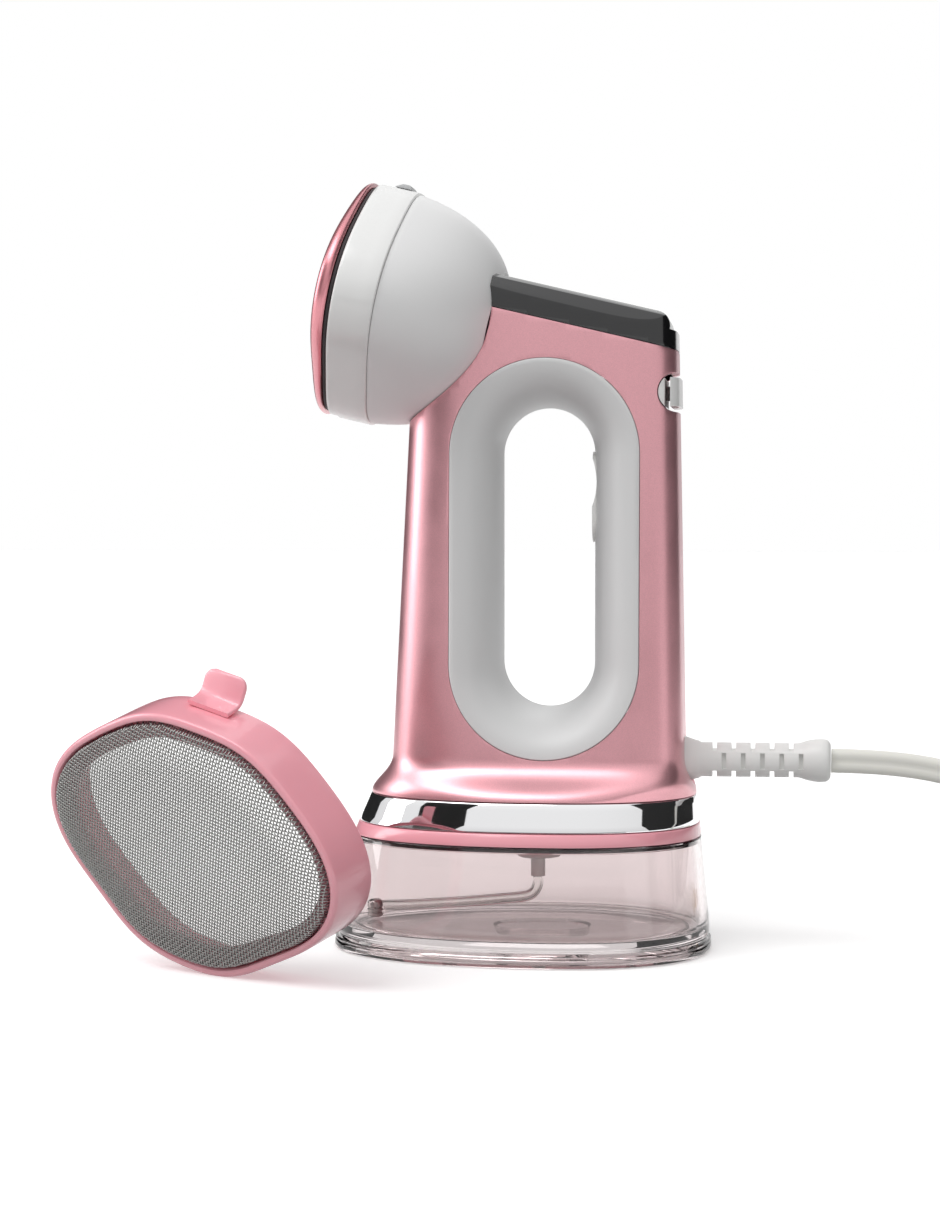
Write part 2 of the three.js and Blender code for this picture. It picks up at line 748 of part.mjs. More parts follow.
function rearButton() {
  const x = rearFace(BUTTON_Z);
  const slab = common(
    postForm(-BUTTON_PROUD),
    box(x - BUTTON_DEPTH, x + 5, -40, 40, BUTTON_Z - BUTTON_HEIGHT / 2, BUTTON_Z + BUTTON_HEIGHT / 2),
    scoop(SCOOP_R - 0.8),
  );
  const stem = rodX(x - BUTTON_DEPTH - BUTTON_STEM, x - BUTTON_DEPTH + 0.6, 0, BUTTON_Z, 2.4, 12);
  return join(slab, stem);
}

function buildPost() {
  const [near, far] = bodyShells();
  steamer.add(
    piece('body_shell_near', near, 'rose_metal'),
    piece('body_shell_far', far, 'rose_metal'),
    piece('grip_liner_near', gripLiner(-1), 'white_satin'),
    piece('grip_liner_far', gripLiner(1), 'white_satin'),
    piece('top_cover', topCover(), 'black'),
    piece('steam_trigger', steamTrigger(), 'white'),
    piece('rear_bezel', rearBezel(), 'white'),
    piece('rear_button', rearButton(), 'white'),
  );
}

// ---- base and tank ----

function ringOf(rows) {
  return bent([...rows, rows[0]], POST_SEGMENTS, placeBase);
}

const BAND_WALL = 1.5;
const SKIRT_INSET = BAND_WALL + GAP + 0.3;
const SKIRT_WALL = 1.8;
const PLUG_INSET = TANK_WALL + 1;

function chromeBand() {
  const ring = ringOf([
    { z: BAND_FOOT.z + GAP, inset: 0 },
    { z: BASE_TOP.z - GAP, inset: 0 },
    { z: BASE_TOP.z - GAP, inset: BAND_WALL },
    { z: BAND_FOOT.z + GAP, inset: BAND_WALL },
  ]);
  return cut(ring, releaseWindow(0.4, 20, 60));
}

function basePan() {
  const floorTop = BAND_FOOT.z;
  const pan = bent([
    { axis: true, z: TANK_TOP.z - 2.4 },
    { z: TANK_TOP.z - 2.4, inset: PLUG_INSET + 1 },
    { z: TANK_TOP.z - 1.6, inset: PLUG_INSET },
    { z: BASE_FOOT.z, inset: PLUG_INSET },
    { z: BASE_FOOT.z, inset: 0.4 },
    { z: BASE_FOOT.z + 0.4, inset: 0 },
    { z: BAND_FOOT.z, inset: 0 },
    { z: BAND_FOOT.z, inset: SKIRT_INSET },
    { z: BASE_TOP.z - GAP, inset: SKIRT_INSET },
    { z: BASE_TOP.z - GAP, inset: SKIRT_INSET + SKIRT_WALL },
    { z: floorTop, inset: SKIRT_INSET + SKIRT_WALL },
    { axis: true, z: floorTop },
  ], POST_SEGMENTS, placeBase);
  const screwHoles = bossPlaces().flatMap((p) => [
    rod(p.x, p.y, TANK_TOP.z - 4, floorTop + 1, 1.9, 12),
    rod(p.x, p.y, TANK_TOP.z - 4, floorTop - 2.2, 3.2, 12),
  ]);
  const inletHole = rod(INLET_X, 0, TANK_TOP.z - 6, floorTop + 1, 3.6, 16);
  return cut(pan, ...screwHoles, inletHole, releaseWindow(0.4, 20, 60));
}

function baseScrew(p) {
  const head0 = BAND_FOOT.z - 2.2 - GAP;
  const shank = rod(p.x, p.y, head0 - 0.4, POST_FOOT.z - 6, BOSS_HOLE_R - GAP, 10);
  const cap = rod(p.x, p.y, head0 - 1.6, head0, 2.7, 12);
  const slot = box(p.x - 3, p.x + 3, p.y - 0.4, p.y + 0.4, head0 - 2, head0 - 1);
  return cut(join(cap, shank), slot);
}

function tankSeal() {
  return ringOf([
    { z: TANK_TOP.z + GAP, inset: 0.9 },
    { z: BASE_FOOT.z - GAP, inset: 0.9 },
    { z: BASE_FOOT.z - GAP, inset: TANK_WALL + 0.6 },
    { z: TANK_TOP.z + GAP, inset: TANK_WALL + 0.6 },
  ]);
}

function tankShell() {
  const z1 = TANK_TOP.z;
  return bent([
    { axis: true, z: 0 },
    { z: 0, share: 0.24 },
    { z: TANK_UNDERSIDE_Z, share: 0.26 },
    { z: TANK_UNDERSIDE_Z, inset: 8 },
    { z: 0, inset: 6.4 },
    { z: 0, inset: 1.4 },
    { z: 1.2, inset: 0 },
    { z: 3, inset: 0 },
    { z: 3.5, inset: 1 },
    { z: 4.6, inset: 1.1 },
    { z: 5.2, inset: 0.5 },
    { z: z1, inset: 0 },
    { z: z1, inset: TANK_WALL },
    { z: TANK_FLOOR_Z + 2.2, inset: TANK_WALL },
    { z: TANK_FLOOR_Z + 0.6, inset: TANK_WALL + 0.7 },
    { z: TANK_FLOOR_Z, inset: TANK_WALL + 2.4 },
    { axis: true, z: TANK_FLOOR_Z },
  ], POST_SEGMENTS, placeBase);
}

const BOSS_DISC_Z = 29.6;

function inletBoss() {
  const profile = [
    [0, BOSS_DISC_Z], [INLET_BOSS_R, BOSS_DISC_Z], [INLET_BOSS_R, BOSS_DISC_Z + 1.4],
    [4.6, BOSS_DISC_Z + 2], [4.6, TANK_TOP.z - 2.4 - GAP], [3.3, TANK_TOP.z - 2.4 - GAP],
    [3.3, BAND_FOOT.z + 5], [2.2, BAND_FOOT.z + 8], [0, BAND_FOOT.z + 8],
  ].map(([r, z]) => new THREE.Vector2(r, z));
  return new THREE.LatheGeometry(profile, 16).rotateX(Math.PI / 2).translate(INLET_X, 0, 0);
}

const SLEEVE_Z = 23;
const DIP_TOP_Z = SLEEVE_Z - GAP;

function tubeSleeve() {
  return rod(INLET_X - 0.4, 0, SLEEVE_Z, BOSS_DISC_Z - GAP, 2.4, 16);
}

function dipTube() {
  const x = INLET_X - 0.4;
  const path = smooth([
    [x, 0, DIP_TOP_Z], [x, 0, 20.5], [x - 1.2, 0, 17.8], [x - 4, 0, 16.2], [x - 12, -1.2, 15.4],
    [x - 26, -2, 14.2], [x - 42, -1.5, 13], [FILTER_X + 3.4, 0, 12.4], [FILTER_X + FILTER_R + GAP, 0, 12.3],
  ]);
  return tube(path, DIP_R, DIP_R, 20, 8);
}

function intakeFilter() {
  const g = new THREE.LatheGeometry([
    [0, TANK_FLOOR_Z + 0.9], [1.9, TANK_FLOOR_Z + 0.9], [FILTER_R, TANK_FLOOR_Z + 1.7],
    [FILTER_R, 13.6], [1.8, 14.4], [0, 14.4],
  ].map(([r, z]) => new THREE.Vector2(r, z)), 16);
  return g.rotateX(Math.PI / 2).translate(FILTER_X, 0, 0);
}

const RELEASE_STEM_Y = BAND_FOOT.half - 5.4; // the stem's inner end
const RELEASE_SPRING = 2.7 * RELEASE_TRAVEL;
const RELEASE_SPRING_Y = RELEASE_STEM_Y - SPRING_END - RELEASE_SPRING;

// The tank's release: a cap in the chrome band with a tongue that reaches down to the seal.
function tankRelease() {
  const outer = bent([
    { axis: true, z: 40 }, { z: 40, inset: -0.6 }, { z: 55, inset: -0.6 }, { axis: true, z: 55 },
  ], POST_SEGMENTS, placeBase);
  const inner = bent([
    { axis: true, z: 39 }, { z: 39, inset: 2.4 }, { z: 56, inset: 2.4 }, { axis: true, z: 56 },
  ], POST_SEGMENTS, placeBase);
  const cap = cut(common(outer, releaseWindow(0, 20, 60)), inner);
  const y = RELEASE_STEM_Y;
  const stem = box(SPLIT_X - 3, SPLIT_X + 3, y, y + 4, RELEASE_Z - 2, RELEASE_Z + 2);
  return join(cap, stem);
}

function releaseSeat() {
  const y = RELEASE_SPRING_Y - SPRING_END;
  return box(SPLIT_X - 6, SPLIT_X + 6, y - 2, y, BAND_FOOT.z + GAP, RELEASE_Z + 3.4);
}

function buildBase() {
  steamer.add(
    piece('chrome_band', chromeBand(), 'chrome'),
    piece('base_pan', basePan(), 'rose_gloss'),
    piece('tank_seal', tankSeal(), 'rubber'),
    piece('tank_shell', tankShell(), 'clear'),
    piece('inlet_boss', inletBoss(), 'white'),
    piece('tube_sleeve', tubeSleeve(), 'grey'),
    piece('dip_tube', dipTube(), 'clear'),
    piece('intake_filter', intakeFilter(), 'steel'),
    piece('tank_release', tankRelease(), 'rose_gloss'),
    piece('release_seat', releaseSeat(), 'grey'),
  );
  bossPlaces().forEach((p, i) => steamer.add(piece(`base_screw_${i + 1}`, baseScrew(p), 'steel')));
  const coil = spring([SPLIT_X, RELEASE_SPRING_Y, RELEASE_Z], 'y', RELEASE_SPRING, 1.6, 3);
  steamer.add(piece('release_spring', coil, 'steel'));
}

// ---- works inside the post ----

const PUMP_X = -24;
const PUMP_R = 9.5;
const PUMP_Z0 = 84;
const PUMP_Z1 = 128;

function buildWorks() {
  const coilR = PUMP_R + 1.2;
  const bobbin = cut(rod(PUMP_X, 0, PUMP_Z0 + 10, PUMP_Z1 - 12, coilR, 20),
    rod(PUMP_X, 0, PUMP_Z0, PUMP_Z1, 6 + GAP, 16));
  const pump = join(
    rod(PUMP_X, 0, PUMP_Z0, PUMP_Z0 + 10 - GAP, PUMP_R, 16),
    rod(PUMP_X, 0, PUMP_Z0 + 2, PUMP_Z1 - 2, 6, 16),
    rod(PUMP_X, 0, PUMP_Z1 - 12 + GAP, PUMP_Z1, PUMP_R, 16),
    rod(PUMP_X, 0, PUMP_Z1 - 1, PUMP_Z1 + 8, 2.4, 12),
    rod(PUMP_X, 0, PUMP_Z0 - 8, PUMP_Z0 + 1, 2.4, 12),
  );
  const inlet = smooth([
    [INLET_X, 0, BAND_FOOT.z + 8 + GAP], [INLET_X, 0, 53], [INLET_X - 6, 0, 58.4],
    [-12, 0, 60], [PUMP_X + 3, 0, 64], [PUMP_X, 0, 70], [PUMP_X, 0, PUMP_Z0 - 8 - GAP],
  ]);
  // the steam hose rises behind the dome's neck and bends forward to the heater's cover
  const lip = placeDome({ x: DOME_END, inset: 0 }, Math.PI).applyMatrix4(head.matrix);
  const steam = smooth([
    [PUMP_X, 0, PUMP_Z1 + 8 + GAP], [PUMP_X, 0, 148], [lip.x - 7.1, 0, lip.z - 20.5],
    [lip.x - 0.6, 0, lip.z - 7.1], [lip.x + 5.6, 0, lip.z + 0.5], [lip.x + 6.9, 0, lip.z + 8.5],
    [-12, 0, 200], [-22, 0, 201.6], [-34, 0, 200.6], [-41.8, 0, 200.2],
  ]);
  steamer.add(
    piece('pump_coil', bobbin, 'brass'),
    piece('pump_body', pump, 'grey'),
    piece('inlet_hose', tube(inlet, 2.1, 2.1, 16, 6), 'clear'),
    piece('pump_hose', tube(steam, 2.1, 2.1, 20, 6), 'clear'),
  );
  const boardX = 46.2;
  const pullX = TRIGGER_FACE_X + TRIGGER_CAP + TRIGGER_STEM + SPRING_END;
  const pullLength = 2.4 * TRIGGER_TRAVEL;
  const switchX = pullX + pullLength + SPRING_END;
  const pressLength = 1.5 * BUTTON_TRAVEL;
  const pressX = rearFace(BUTTON_Z) - BUTTON_DEPTH - BUTTON_STEM - SPRING_END - pressLength;
  const powerX = pressX - SPRING_END;
  steamer.add(
    piece('circuit_board', box(boardX, boardX + 1.4, -15, 15, 86, 134), 'board'),
    piece('trigger_switch', box(switchX, boardX - GAP, -4, 4, TRIGGER_Z - 6, TRIGGER_Z + 6), 'black'),
    piece('power_switch', box(powerX - 7.2, powerX, -6, 6, BUTTON_Z - 5, BUTTON_Z + 5), 'black'),
    piece('cord_clamp', clamp(), 'grey'),
    piece('trigger_spring', spring([pullX, 0, TRIGGER_Z], 'x', pullLength, 1.6, 3), 'steel'),
    piece('rear_button_spring', spring([pressX, 0, BUTTON_Z], 'x', pressLength, 1.5, 2), 'steel'),
  );
  steamer.add(
    piece('lead_line', tube(smooth([
      [42.4, -2.2, RELIEF_Z + 0.4], [38, -3, 66], [37, -4, 74], [40, -6, 82], [43.6, -8, 90], [44.7, -8, 96],
    ]), 1, 1, 12, 6), 'black'),
    piece('lead_neutral', tube(smooth([
      [42.4, 2.2, RELIEF_Z + 0.4], [38, 3, 66], [37, 4, 74], [40, 6, 82], [43.6, 8, 90], [44.7, 8, 96],
    ]), 1, 1, 12, 6), 'white'),
  );
}

function clamp() {
  const top = RELIEF_Z - RELIEF_NECK_R - GAP;
  const bar = box(RELIEF_X + 0.2, RELIEF_X + 3, -14, 14, top - 3.2, top);
  const x = RELIEF_X + 1.6;
  return cut(bar, rod(x, -11, top - 6, top + 2, 0.9, 8), rod(x, 11, top - 6, top + 2, 0.9, 8));
}

// ---- lead ----

// The relief's outline along the lead: a ball in the wall, a sleeve, a wider end.
function strainRelief() {
  const ballX = 51.5;
  const profile = [
    [0, RELIEF_X], [RELIEF_NECK_R, RELIEF_X], [RELIEF_NECK_R, RELIEF_X + 3.4],
    [6.6, ballX - 4.5], [RELIEF_BALL_R - 0.4, ballX - 2.1], [RELIEF_BALL_R, ballX],
    [RELIEF_BALL_R - 0.5, 54.6], [RELIEF_R + 0.7, 58.6], [RELIEF_R, 59.6], [RELIEF_R, 91.6],
    [RELIEF_R + 0.6, 93.4], [RELIEF_END_R - 0.3, 96.4], [RELIEF_END_R, 98.6],
    [RELIEF_END_R - 0.7, RELIEF_END_X - 0.6], [5.6, RELIEF_END_X], [0, RELIEF_END_X],
  ].map(([r, x]) => new THREE.Vector2(r, x));
  const body = new THREE.LatheGeometry(profile, 16).rotateZ(-Math.PI / 2).translate(0, 0, RELIEF_Z);
  const slots = [];
  const slotWide = 1.5;
  for (let i = 0; i < 5; i++) {
    const across = 63.2 + 6.3 * i;
    const middle = across + 3.15;
    slots.push(box(across, across + slotWide, -8, 8, RELIEF_Z + 3.3, RELIEF_Z + 9));
    slots.push(box(across, across + slotWide, -8, 8, RELIEF_Z - 9, RELIEF_Z - 3.3));
    slots.push(box(middle, middle + slotWide, -9, -3.3, RELIEF_Z - 2.6, RELIEF_Z + 2.6));
    slots.push(box(middle, middle + slotWide, 3.3, 9, RELIEF_Z - 2.6, RELIEF_Z + 2.6));
  }
  return cut(body, ...slots);
}

// The lead's route from the relief to the coil, chosen by hand.
const CORD_ROUTE = [
  [RELIEF_END_X + GAP, 0, RELIEF_Z], [112, 0, 62.8], [122, 0, 62.2], [132, 0, 61], [142, 0, 58.9],
  [152, -0.2, 55.4], [162, -1.9, 50], [172, -5.1, 43], [181, -8.7, 35.4], [190, -12.5, 27],
  [199, -16.2, 18.6], [208, -19.3, 11], [217, -21.3, 5.9], [225, -22, 3.2],
];

function coilRing() {
  const wide = (COIL_TURNS_WIDE - 1) * CORD_PITCH + CORD_THICK;
  const [r0, r1] = [COIL_R - wide / 2, COIL_R + wide / 2];
  const high = COIL_LAYERS * (CORD_WIDTH + 0.3);
  const profile = [
    [r0, FLOOR_GAP], [r1, FLOOR_GAP], [r1, high], [r0, high], [r0, FLOOR_GAP],
  ].map(([r, z]) => new THREE.Vector2(r, z));
  return new THREE.LatheGeometry(profile, 40).rotateX(Math.PI / 2).translate(COIL_X, COIL_Y, 0);
}

const PLUG_Y = COIL_Y + 60.6;
const PLUG_TAIL_X = COIL_X - 17;
const PLUG_HALF = 7.6;

function plugBody() {
  const rows = [
    [0, 4], [3, 4.4], [16, 5], [20, 7], [24, 10.6], [32, 11.8], [48, 12], [53, 11.4], [54, 10.6],
  ];
  const profile = [[0, 0], ...rows.map(([x, r]) => [r, x]), [0, 54]]
    .map(([r, x]) => new THREE.Vector2(r, x));
  const g = new THREE.LatheGeometry(profile, 16).rotateZ(Math.PI / 2);
  const squash = PLUG_HALF / 12;
  return g.scale(1, 1, squash).translate(PLUG_TAIL_X, PLUG_Y, PLUG_HALF + 0.05);
}

function plugBlade(side) {
  const x1 = PLUG_TAIL_X - 54 - GAP;
  const y = PLUG_Y + side * 6.35;
  const blade = box(x1 - 17.5, x1, y - 0.75, y + 0.75, PLUG_HALF - 3.2, PLUG_HALF + 3.2);
  return cut(blade, rodY(x1 - 14.5, y - 2, y + 2, PLUG_HALF, 1.5, 12));
}

function coilTie() {
  const wide = (COIL_TURNS_WIDE - 1) * CORD_PITCH + CORD_THICK;
  const high = COIL_LAYERS * (CORD_WIDTH + 0.3);
  const [r0, r1] = [COIL_R - wide / 2 - GAP, COIL_R + wide / 2 + GAP];
  const thick = 0.8;
  const x = COIL_X;
  const outer = box(x + r0 - thick, x + r1 + thick, COIL_Y - 3, COIL_Y + 3, FLOOR_GAP, high + GAP + thick);
  const inner = box(x + r0 - 0.3, x + r1 + 0.3, COIL_Y - 4, COIL_Y + 4, -1, high + GAP);
  return cut(outer, inner);
}

function buildLead() {
  const path = smooth(CORD_ROUTE);
  steamer.add(
    piece('strain_relief', strainRelief(), 'white'),
    piece('cord_tube', tube(path, CORD_WIDTH / 2, CORD_THICK / 2, 18, 10), 'cord'),
    piece('cord_coil', coilRing(), 'cord'),
    piece('coil_tie', coilTie(), 'black'),
    piece('plug_body', plugBody(), 'cord'),
    piece('plug_blade_near', plugBlade(-1), 'brass'),
    piece('plug_blade_far', plugBlade(1), 'brass'),
  );
}

// ---- fabric guard ----

// The guard's own frame: x across, z up to the tab, the mesh face towards -y.
function placeGuard(row, angle) {
  if (row.axis) return new THREE.Vector3(0, row.y, 0);
  const r = headRadius(angle) * (row.share ?? 1) + (row.grow ?? 0);
  return new THREE.Vector3(r * Math.sin(angle), row.y, r * Math.cos(angle));
}

const GUARD_IN = GUARD_CLEAR;
const GUARD_OUT = GUARD_CLEAR + GUARD_WALL;
const MESH_GROW = GUARD_OUT - GUARD_LIP - 1.4;

function guardFrame() {
  return bent([
    { y: 0.6, grow: GUARD_OUT - 0.5 },
    { y: 2.4, grow: GUARD_OUT },
    { y: GUARD_DEPTH, grow: GUARD_OUT + 0.4 },
    { y: GUARD_DEPTH, grow: GUARD_IN },
    { y: 4.4, grow: GUARD_IN },
    { y: 3.2, grow: MESH_GROW },
    { y: 0.8, grow: MESH_GROW },
    { y: 0, grow: MESH_GROW + 0.8 },
    { y: 0, grow: GUARD_OUT - 1.4 },
    { y: 0.6, grow: GUARD_OUT - 0.5 },
  ], HEAD_SEGMENTS, placeGuard);
}

// The woven mesh: flat in the middle, with a sloped border down to the frame.
function guardMesh() {
  const edge = MESH_GROW - GAP;
  return bent([
    { axis: true, y: -1.6 },
    { y: -1.6, share: 0.74 },
    { y: -0.9, share: 0.82 },
    { y: 2.2, grow: edge },
    { y: 3, grow: edge },
    { y: -0.1, share: 0.81 },
    { y: -0.8, share: 0.73 },
    { axis: true, y: -0.8 },
  ], HEAD_SEGMENTS, placeGuard);
}

function guardRing() {
  const edge = MESH_GROW - GAP;
  return bent([
    { y: 3.3, grow: edge },
    { y: 3.3, grow: -6 },
    { y: 5, grow: -6 },
    { y: 5, grow: GUARD_IN - GAP },
    { y: 4.6, grow: GUARD_IN - GAP },
    { y: 3.5, grow: edge },
    { y: 3.3, grow: edge },
  ], HEAD_SEGMENTS, placeGuard);
}

const TAB_WIDTH = 17;

// The release tab: a lip that rises from the back of the frame's top and curls forward.
function guardTab() {
  const z = headRadius(0) + GUARD_OUT + 0.4 + GAP;
  const y1 = GUARD_DEPTH - 0.4;
  const profile = new THREE.Shape();
  profile.moveTo(y1 - 7, z);
  profile.lineTo(y1, z);
  profile.lineTo(y1 + 1.4, z + 2.4);
  profile.lineTo(y1 + 3.4, z + 8.6);
  profile.lineTo(y1 + 2, z + 9.2);
  profile.lineTo(y1 - 0.6, z + 3.6);
  profile.lineTo(y1 - 3, z + 1.6);
  profile.lineTo(y1 - 7, z + 1);
  profile.closePath();
  const g = new THREE.ExtrudeGeometry(profile, {
    depth: TAB_WIDTH - 1.2, bevelEnabled: true, bevelThickness: 0.6, bevelSize: 0.2, bevelSegments: 1,
  });
  g.rotateX(Math.PI / 2).rotateZ(Math.PI / 2);
  return g.translate(-TAB_WIDTH / 2 + 0.6, 0, 0);
}

function buildGuard() {
  guard.add(
    piece('guard_frame', guardFrame(), 'rose_gloss'),
    piece('guard_mesh', guardMesh(), 'mesh'),
    piece('guard_ring', guardRing(), 'rose_gloss'),
    piece('guard_tab', guardTab(), 'rose_gloss'),
  );
  guard.rotation.set(GUARD_PITCH, GUARD_ROLL, GUARD_YAW, 'ZXY');
  guard.position.set(GUARD_X, GUARD_Y, 0);
  guard.updateMatrixWorld(true);
  const size = new THREE.Box3().setFromObject(guard, true);
  guard.position.z = FLOOR_GAP - size.min.z;
}

buildHead();
buildPost();
buildBase();
buildWorks();
buildLead();
buildGuard();

export default steamer;
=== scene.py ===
import math

import bmesh
import bpy
from mathutils import Matrix, Vector
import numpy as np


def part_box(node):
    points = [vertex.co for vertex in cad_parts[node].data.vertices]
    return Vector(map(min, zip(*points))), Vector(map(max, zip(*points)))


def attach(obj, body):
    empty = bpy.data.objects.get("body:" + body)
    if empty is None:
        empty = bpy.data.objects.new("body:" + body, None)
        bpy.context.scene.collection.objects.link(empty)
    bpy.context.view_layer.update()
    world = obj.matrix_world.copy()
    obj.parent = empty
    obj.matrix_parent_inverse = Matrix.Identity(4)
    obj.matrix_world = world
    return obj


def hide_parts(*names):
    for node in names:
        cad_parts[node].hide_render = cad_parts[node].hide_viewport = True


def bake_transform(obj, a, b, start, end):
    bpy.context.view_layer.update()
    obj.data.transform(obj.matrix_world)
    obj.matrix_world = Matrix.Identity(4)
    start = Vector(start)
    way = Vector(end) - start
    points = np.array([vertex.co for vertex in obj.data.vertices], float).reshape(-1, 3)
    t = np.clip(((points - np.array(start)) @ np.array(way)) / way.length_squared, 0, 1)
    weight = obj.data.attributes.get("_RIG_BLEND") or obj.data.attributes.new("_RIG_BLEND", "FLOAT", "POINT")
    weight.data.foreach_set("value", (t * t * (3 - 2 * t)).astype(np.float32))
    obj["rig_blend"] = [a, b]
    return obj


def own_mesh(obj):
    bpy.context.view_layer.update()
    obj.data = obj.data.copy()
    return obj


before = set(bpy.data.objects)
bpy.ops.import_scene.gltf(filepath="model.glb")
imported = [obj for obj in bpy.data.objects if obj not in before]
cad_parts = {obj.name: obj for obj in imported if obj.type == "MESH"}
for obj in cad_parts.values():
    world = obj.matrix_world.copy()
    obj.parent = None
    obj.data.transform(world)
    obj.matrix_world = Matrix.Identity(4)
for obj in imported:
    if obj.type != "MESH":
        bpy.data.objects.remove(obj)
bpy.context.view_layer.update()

# ---- The room ----
# The steamer stands on a wide white floor that glows a little and gives no diffuse light
# back. A soft sun hangs overhead and four soft boxes stand round it, and the sky is weaker
# as light than as backdrop. Three near-black boards and a low grey one stand out of view
# and show only in mirrors and through clear plastic, so that the chrome and the metallic
# paint have something to mirror.

AIM = Vector((-0.0178, 0, 0.113))
CAMERA_AZIMUTH = math.radians(6.6)
CAMERA_ELEVATION = math.radians(2.5)
CAMERA_DISTANCE = 0.87
CAMERA_LENS = 77.04
FLOOR_REACH = 6
FLOOR_DROP = 0.0002  # the floor lies this far under the tank's foot
FLOOR_SHADE = 0.9
FLOOR_GLOW = 0.3
SKY_LIGHT = 0.4  # the sky's strength as light
SKY_SEEN = 1.0  # and as backdrop
SKY_HEIGHTS = (0.1, 0.9)  # where the mirrored sky starts and stops getting brighter
SKY_MIRRORED = (0.74, 1.08)  # its strength there
SUN_STRENGTH = 1.3
SUN_SPREAD = math.radians(40)
LAMP_REACH = 1.4
CARD_BLACK = 0.01
CARD_GREY = 0.12


def linear(red, green, blue):
    """A paint-chip colour, 0 to 255 a channel, as the shader wants it."""
    chip = [c / 255 for c in (red, green, blue)]
    return [c / 12.92 if c < 0.04045 else ((c + 0.055) / 1.055) ** 2.4 for c in chip] + [1]


def put(name, data):
    thing = bpy.data.objects.new(name, data)
    bpy.context.scene.collection.objects.link(thing)
    return thing


def direction(azimuth, elevation):
    """From the object out to someone who stands at that azimuth and elevation."""
    level = math.cos(elevation)
    return Vector((math.sin(azimuth) * level, -math.cos(azimuth) * level, math.sin(elevation)))


def face(thing, place, target):
    thing.location = place
    thing.rotation_euler = (Vector(target) - Vector(place)).to_track_quat("-Z", "Y").to_euler()


def softbox(name, place, width, height, watts, mirrored=True, target=AIM):
    lamp = bpy.data.lights.new(name, "AREA")
    lamp.shape = "RECTANGLE"
    lamp.size = width
    lamp.size_y = height
    lamp.energy = watts
    thing = put(name, lamp)
    thing.visible_glossy = mirrored
    face(thing, place, target)


def card(name, place, width, height, shade):
    """A plain board on a stand, out of the picture."""
    board = bpy.data.meshes.new(name)
    corners = [(-width / 2, -height / 2, 0), (width / 2, -height / 2, 0),
               (width / 2, height / 2, 0), (-width / 2, height / 2, 0)]
    board.from_pydata(corners, [], [(0, 1, 2, 3)])
    paint = bpy.data.materials.new(name)
    paint.use_nodes = True
    shader = paint.node_tree.nodes["Principled BSDF"]
    shader.inputs["Base Color"].default_value = (shade, shade, shade, 1)
    shader.inputs["Roughness"].default_value = 0.9
    board.materials.append(paint)
    thing = put(name, board)
    face(thing, place, (0, 0, 0.05))
    thing.visible_camera = False
    thing.visible_shadow = False
    thing.visible_diffuse = False


camera = put("camera", bpy.data.cameras.new("camera"))
camera.data.lens = CAMERA_LENS
face(camera, AIM + CAMERA_DISTANCE * direction(CAMERA_AZIMUTH, CAMERA_ELEVATION), AIM)
bpy.context.scene.camera = camera
bpy.context.scene.view_settings.view_transform = "Standard"

floor_mesh = bpy.data.meshes.new("floor")
floor_corners = [(x * FLOOR_REACH, y * FLOOR_REACH, 0) for x, y in ((-1, -1), (1, -1), (1, 1), (-1, 1))]
floor_mesh.from_pydata(floor_corners, [], [(0, 1, 2, 3)])
floor_paint = bpy.data.materials.new("floor")
floor_paint.use_nodes = True
floor_shader = floor_paint.node_tree.nodes["Principled BSDF"]
floor_shader.inputs["Base Color"].default_value = (FLOOR_SHADE, FLOOR_SHADE, FLOOR_SHADE, 1)
floor_shader.inputs["Roughness"].default_value = 0.8
floor_shader.inputs["Emission Color"].default_value = (1, 1, 1, 1)
floor_shader.inputs["Emission Strength"].default_value = FLOOR_GLOW
floor_mesh.materials.append(floor_paint)
floor = put("floor", floor_mesh)
floor.location.z = -FLOOR_DROP
floor.visible_diffuse = False

world = bpy.data.worlds.new("studio")
world.use_nodes = True
bpy.context.scene.world = world
sky = world.node_tree
sky_rays = sky.nodes.new("ShaderNodeLightPath")
sky_light, sky_mirrored, sky_seen = [sky.nodes.new("ShaderNodeBackground") for _ in range(3)]
for shade in (sky_light, sky_mirrored, sky_seen):
    shade.inputs["Color"].default_value = (1, 1, 1, 1)
sky_light.inputs["Strength"].default_value = SKY_LIGHT
sky_seen.inputs["Strength"].default_value = SKY_SEEN
sky_way = sky.nodes.new("ShaderNodeTexCoord")
sky_height = sky.nodes.new("ShaderNodeSeparateXYZ")
sky_ramp = sky.nodes.new("ShaderNodeMapRange")
sky_ramp.inputs["From Min"].default_value = SKY_HEIGHTS[0]
sky_ramp.inputs["From Max"].default_value = SKY_HEIGHTS[1]
sky_ramp.inputs["To Min"].default_value = SKY_MIRRORED[0]
sky_ramp.inputs["To Max"].default_value = SKY_MIRRORED[1]
sky.links.new(sky_way.outputs["Generated"], sky_height.inputs["Vector"])
sky.links.new(sky_height.outputs["Z"], sky_ramp.inputs["Value"])
sky.links.new(sky_ramp.outputs["Result"], sky_mirrored.inputs["Strength"])
sky_gloss = sky.nodes.new("ShaderNodeMixShader")
sky_mix = sky.nodes.new("ShaderNodeMixShader")
sky.links.new(sky_rays.outputs["Is Glossy Ray"], sky_gloss.inputs["Fac"])
sky.links.new(sky_light.outputs["Background"], sky_gloss.inputs[1])
sky.links.new(sky_mirrored.outputs["Background"], sky_gloss.inputs[2])
sky.links.new(sky_rays.outputs["Is Camera Ray"], sky_mix.inputs["Fac"])
sky.links.new(sky_gloss.outputs["Shader"], sky_mix.inputs[1])
sky.links.new(sky_seen.outputs["Background"], sky_mix.inputs[2])
sky.links.new(sky_mix.outputs["Shader"], sky.nodes["World Output"].inputs["Surface"])

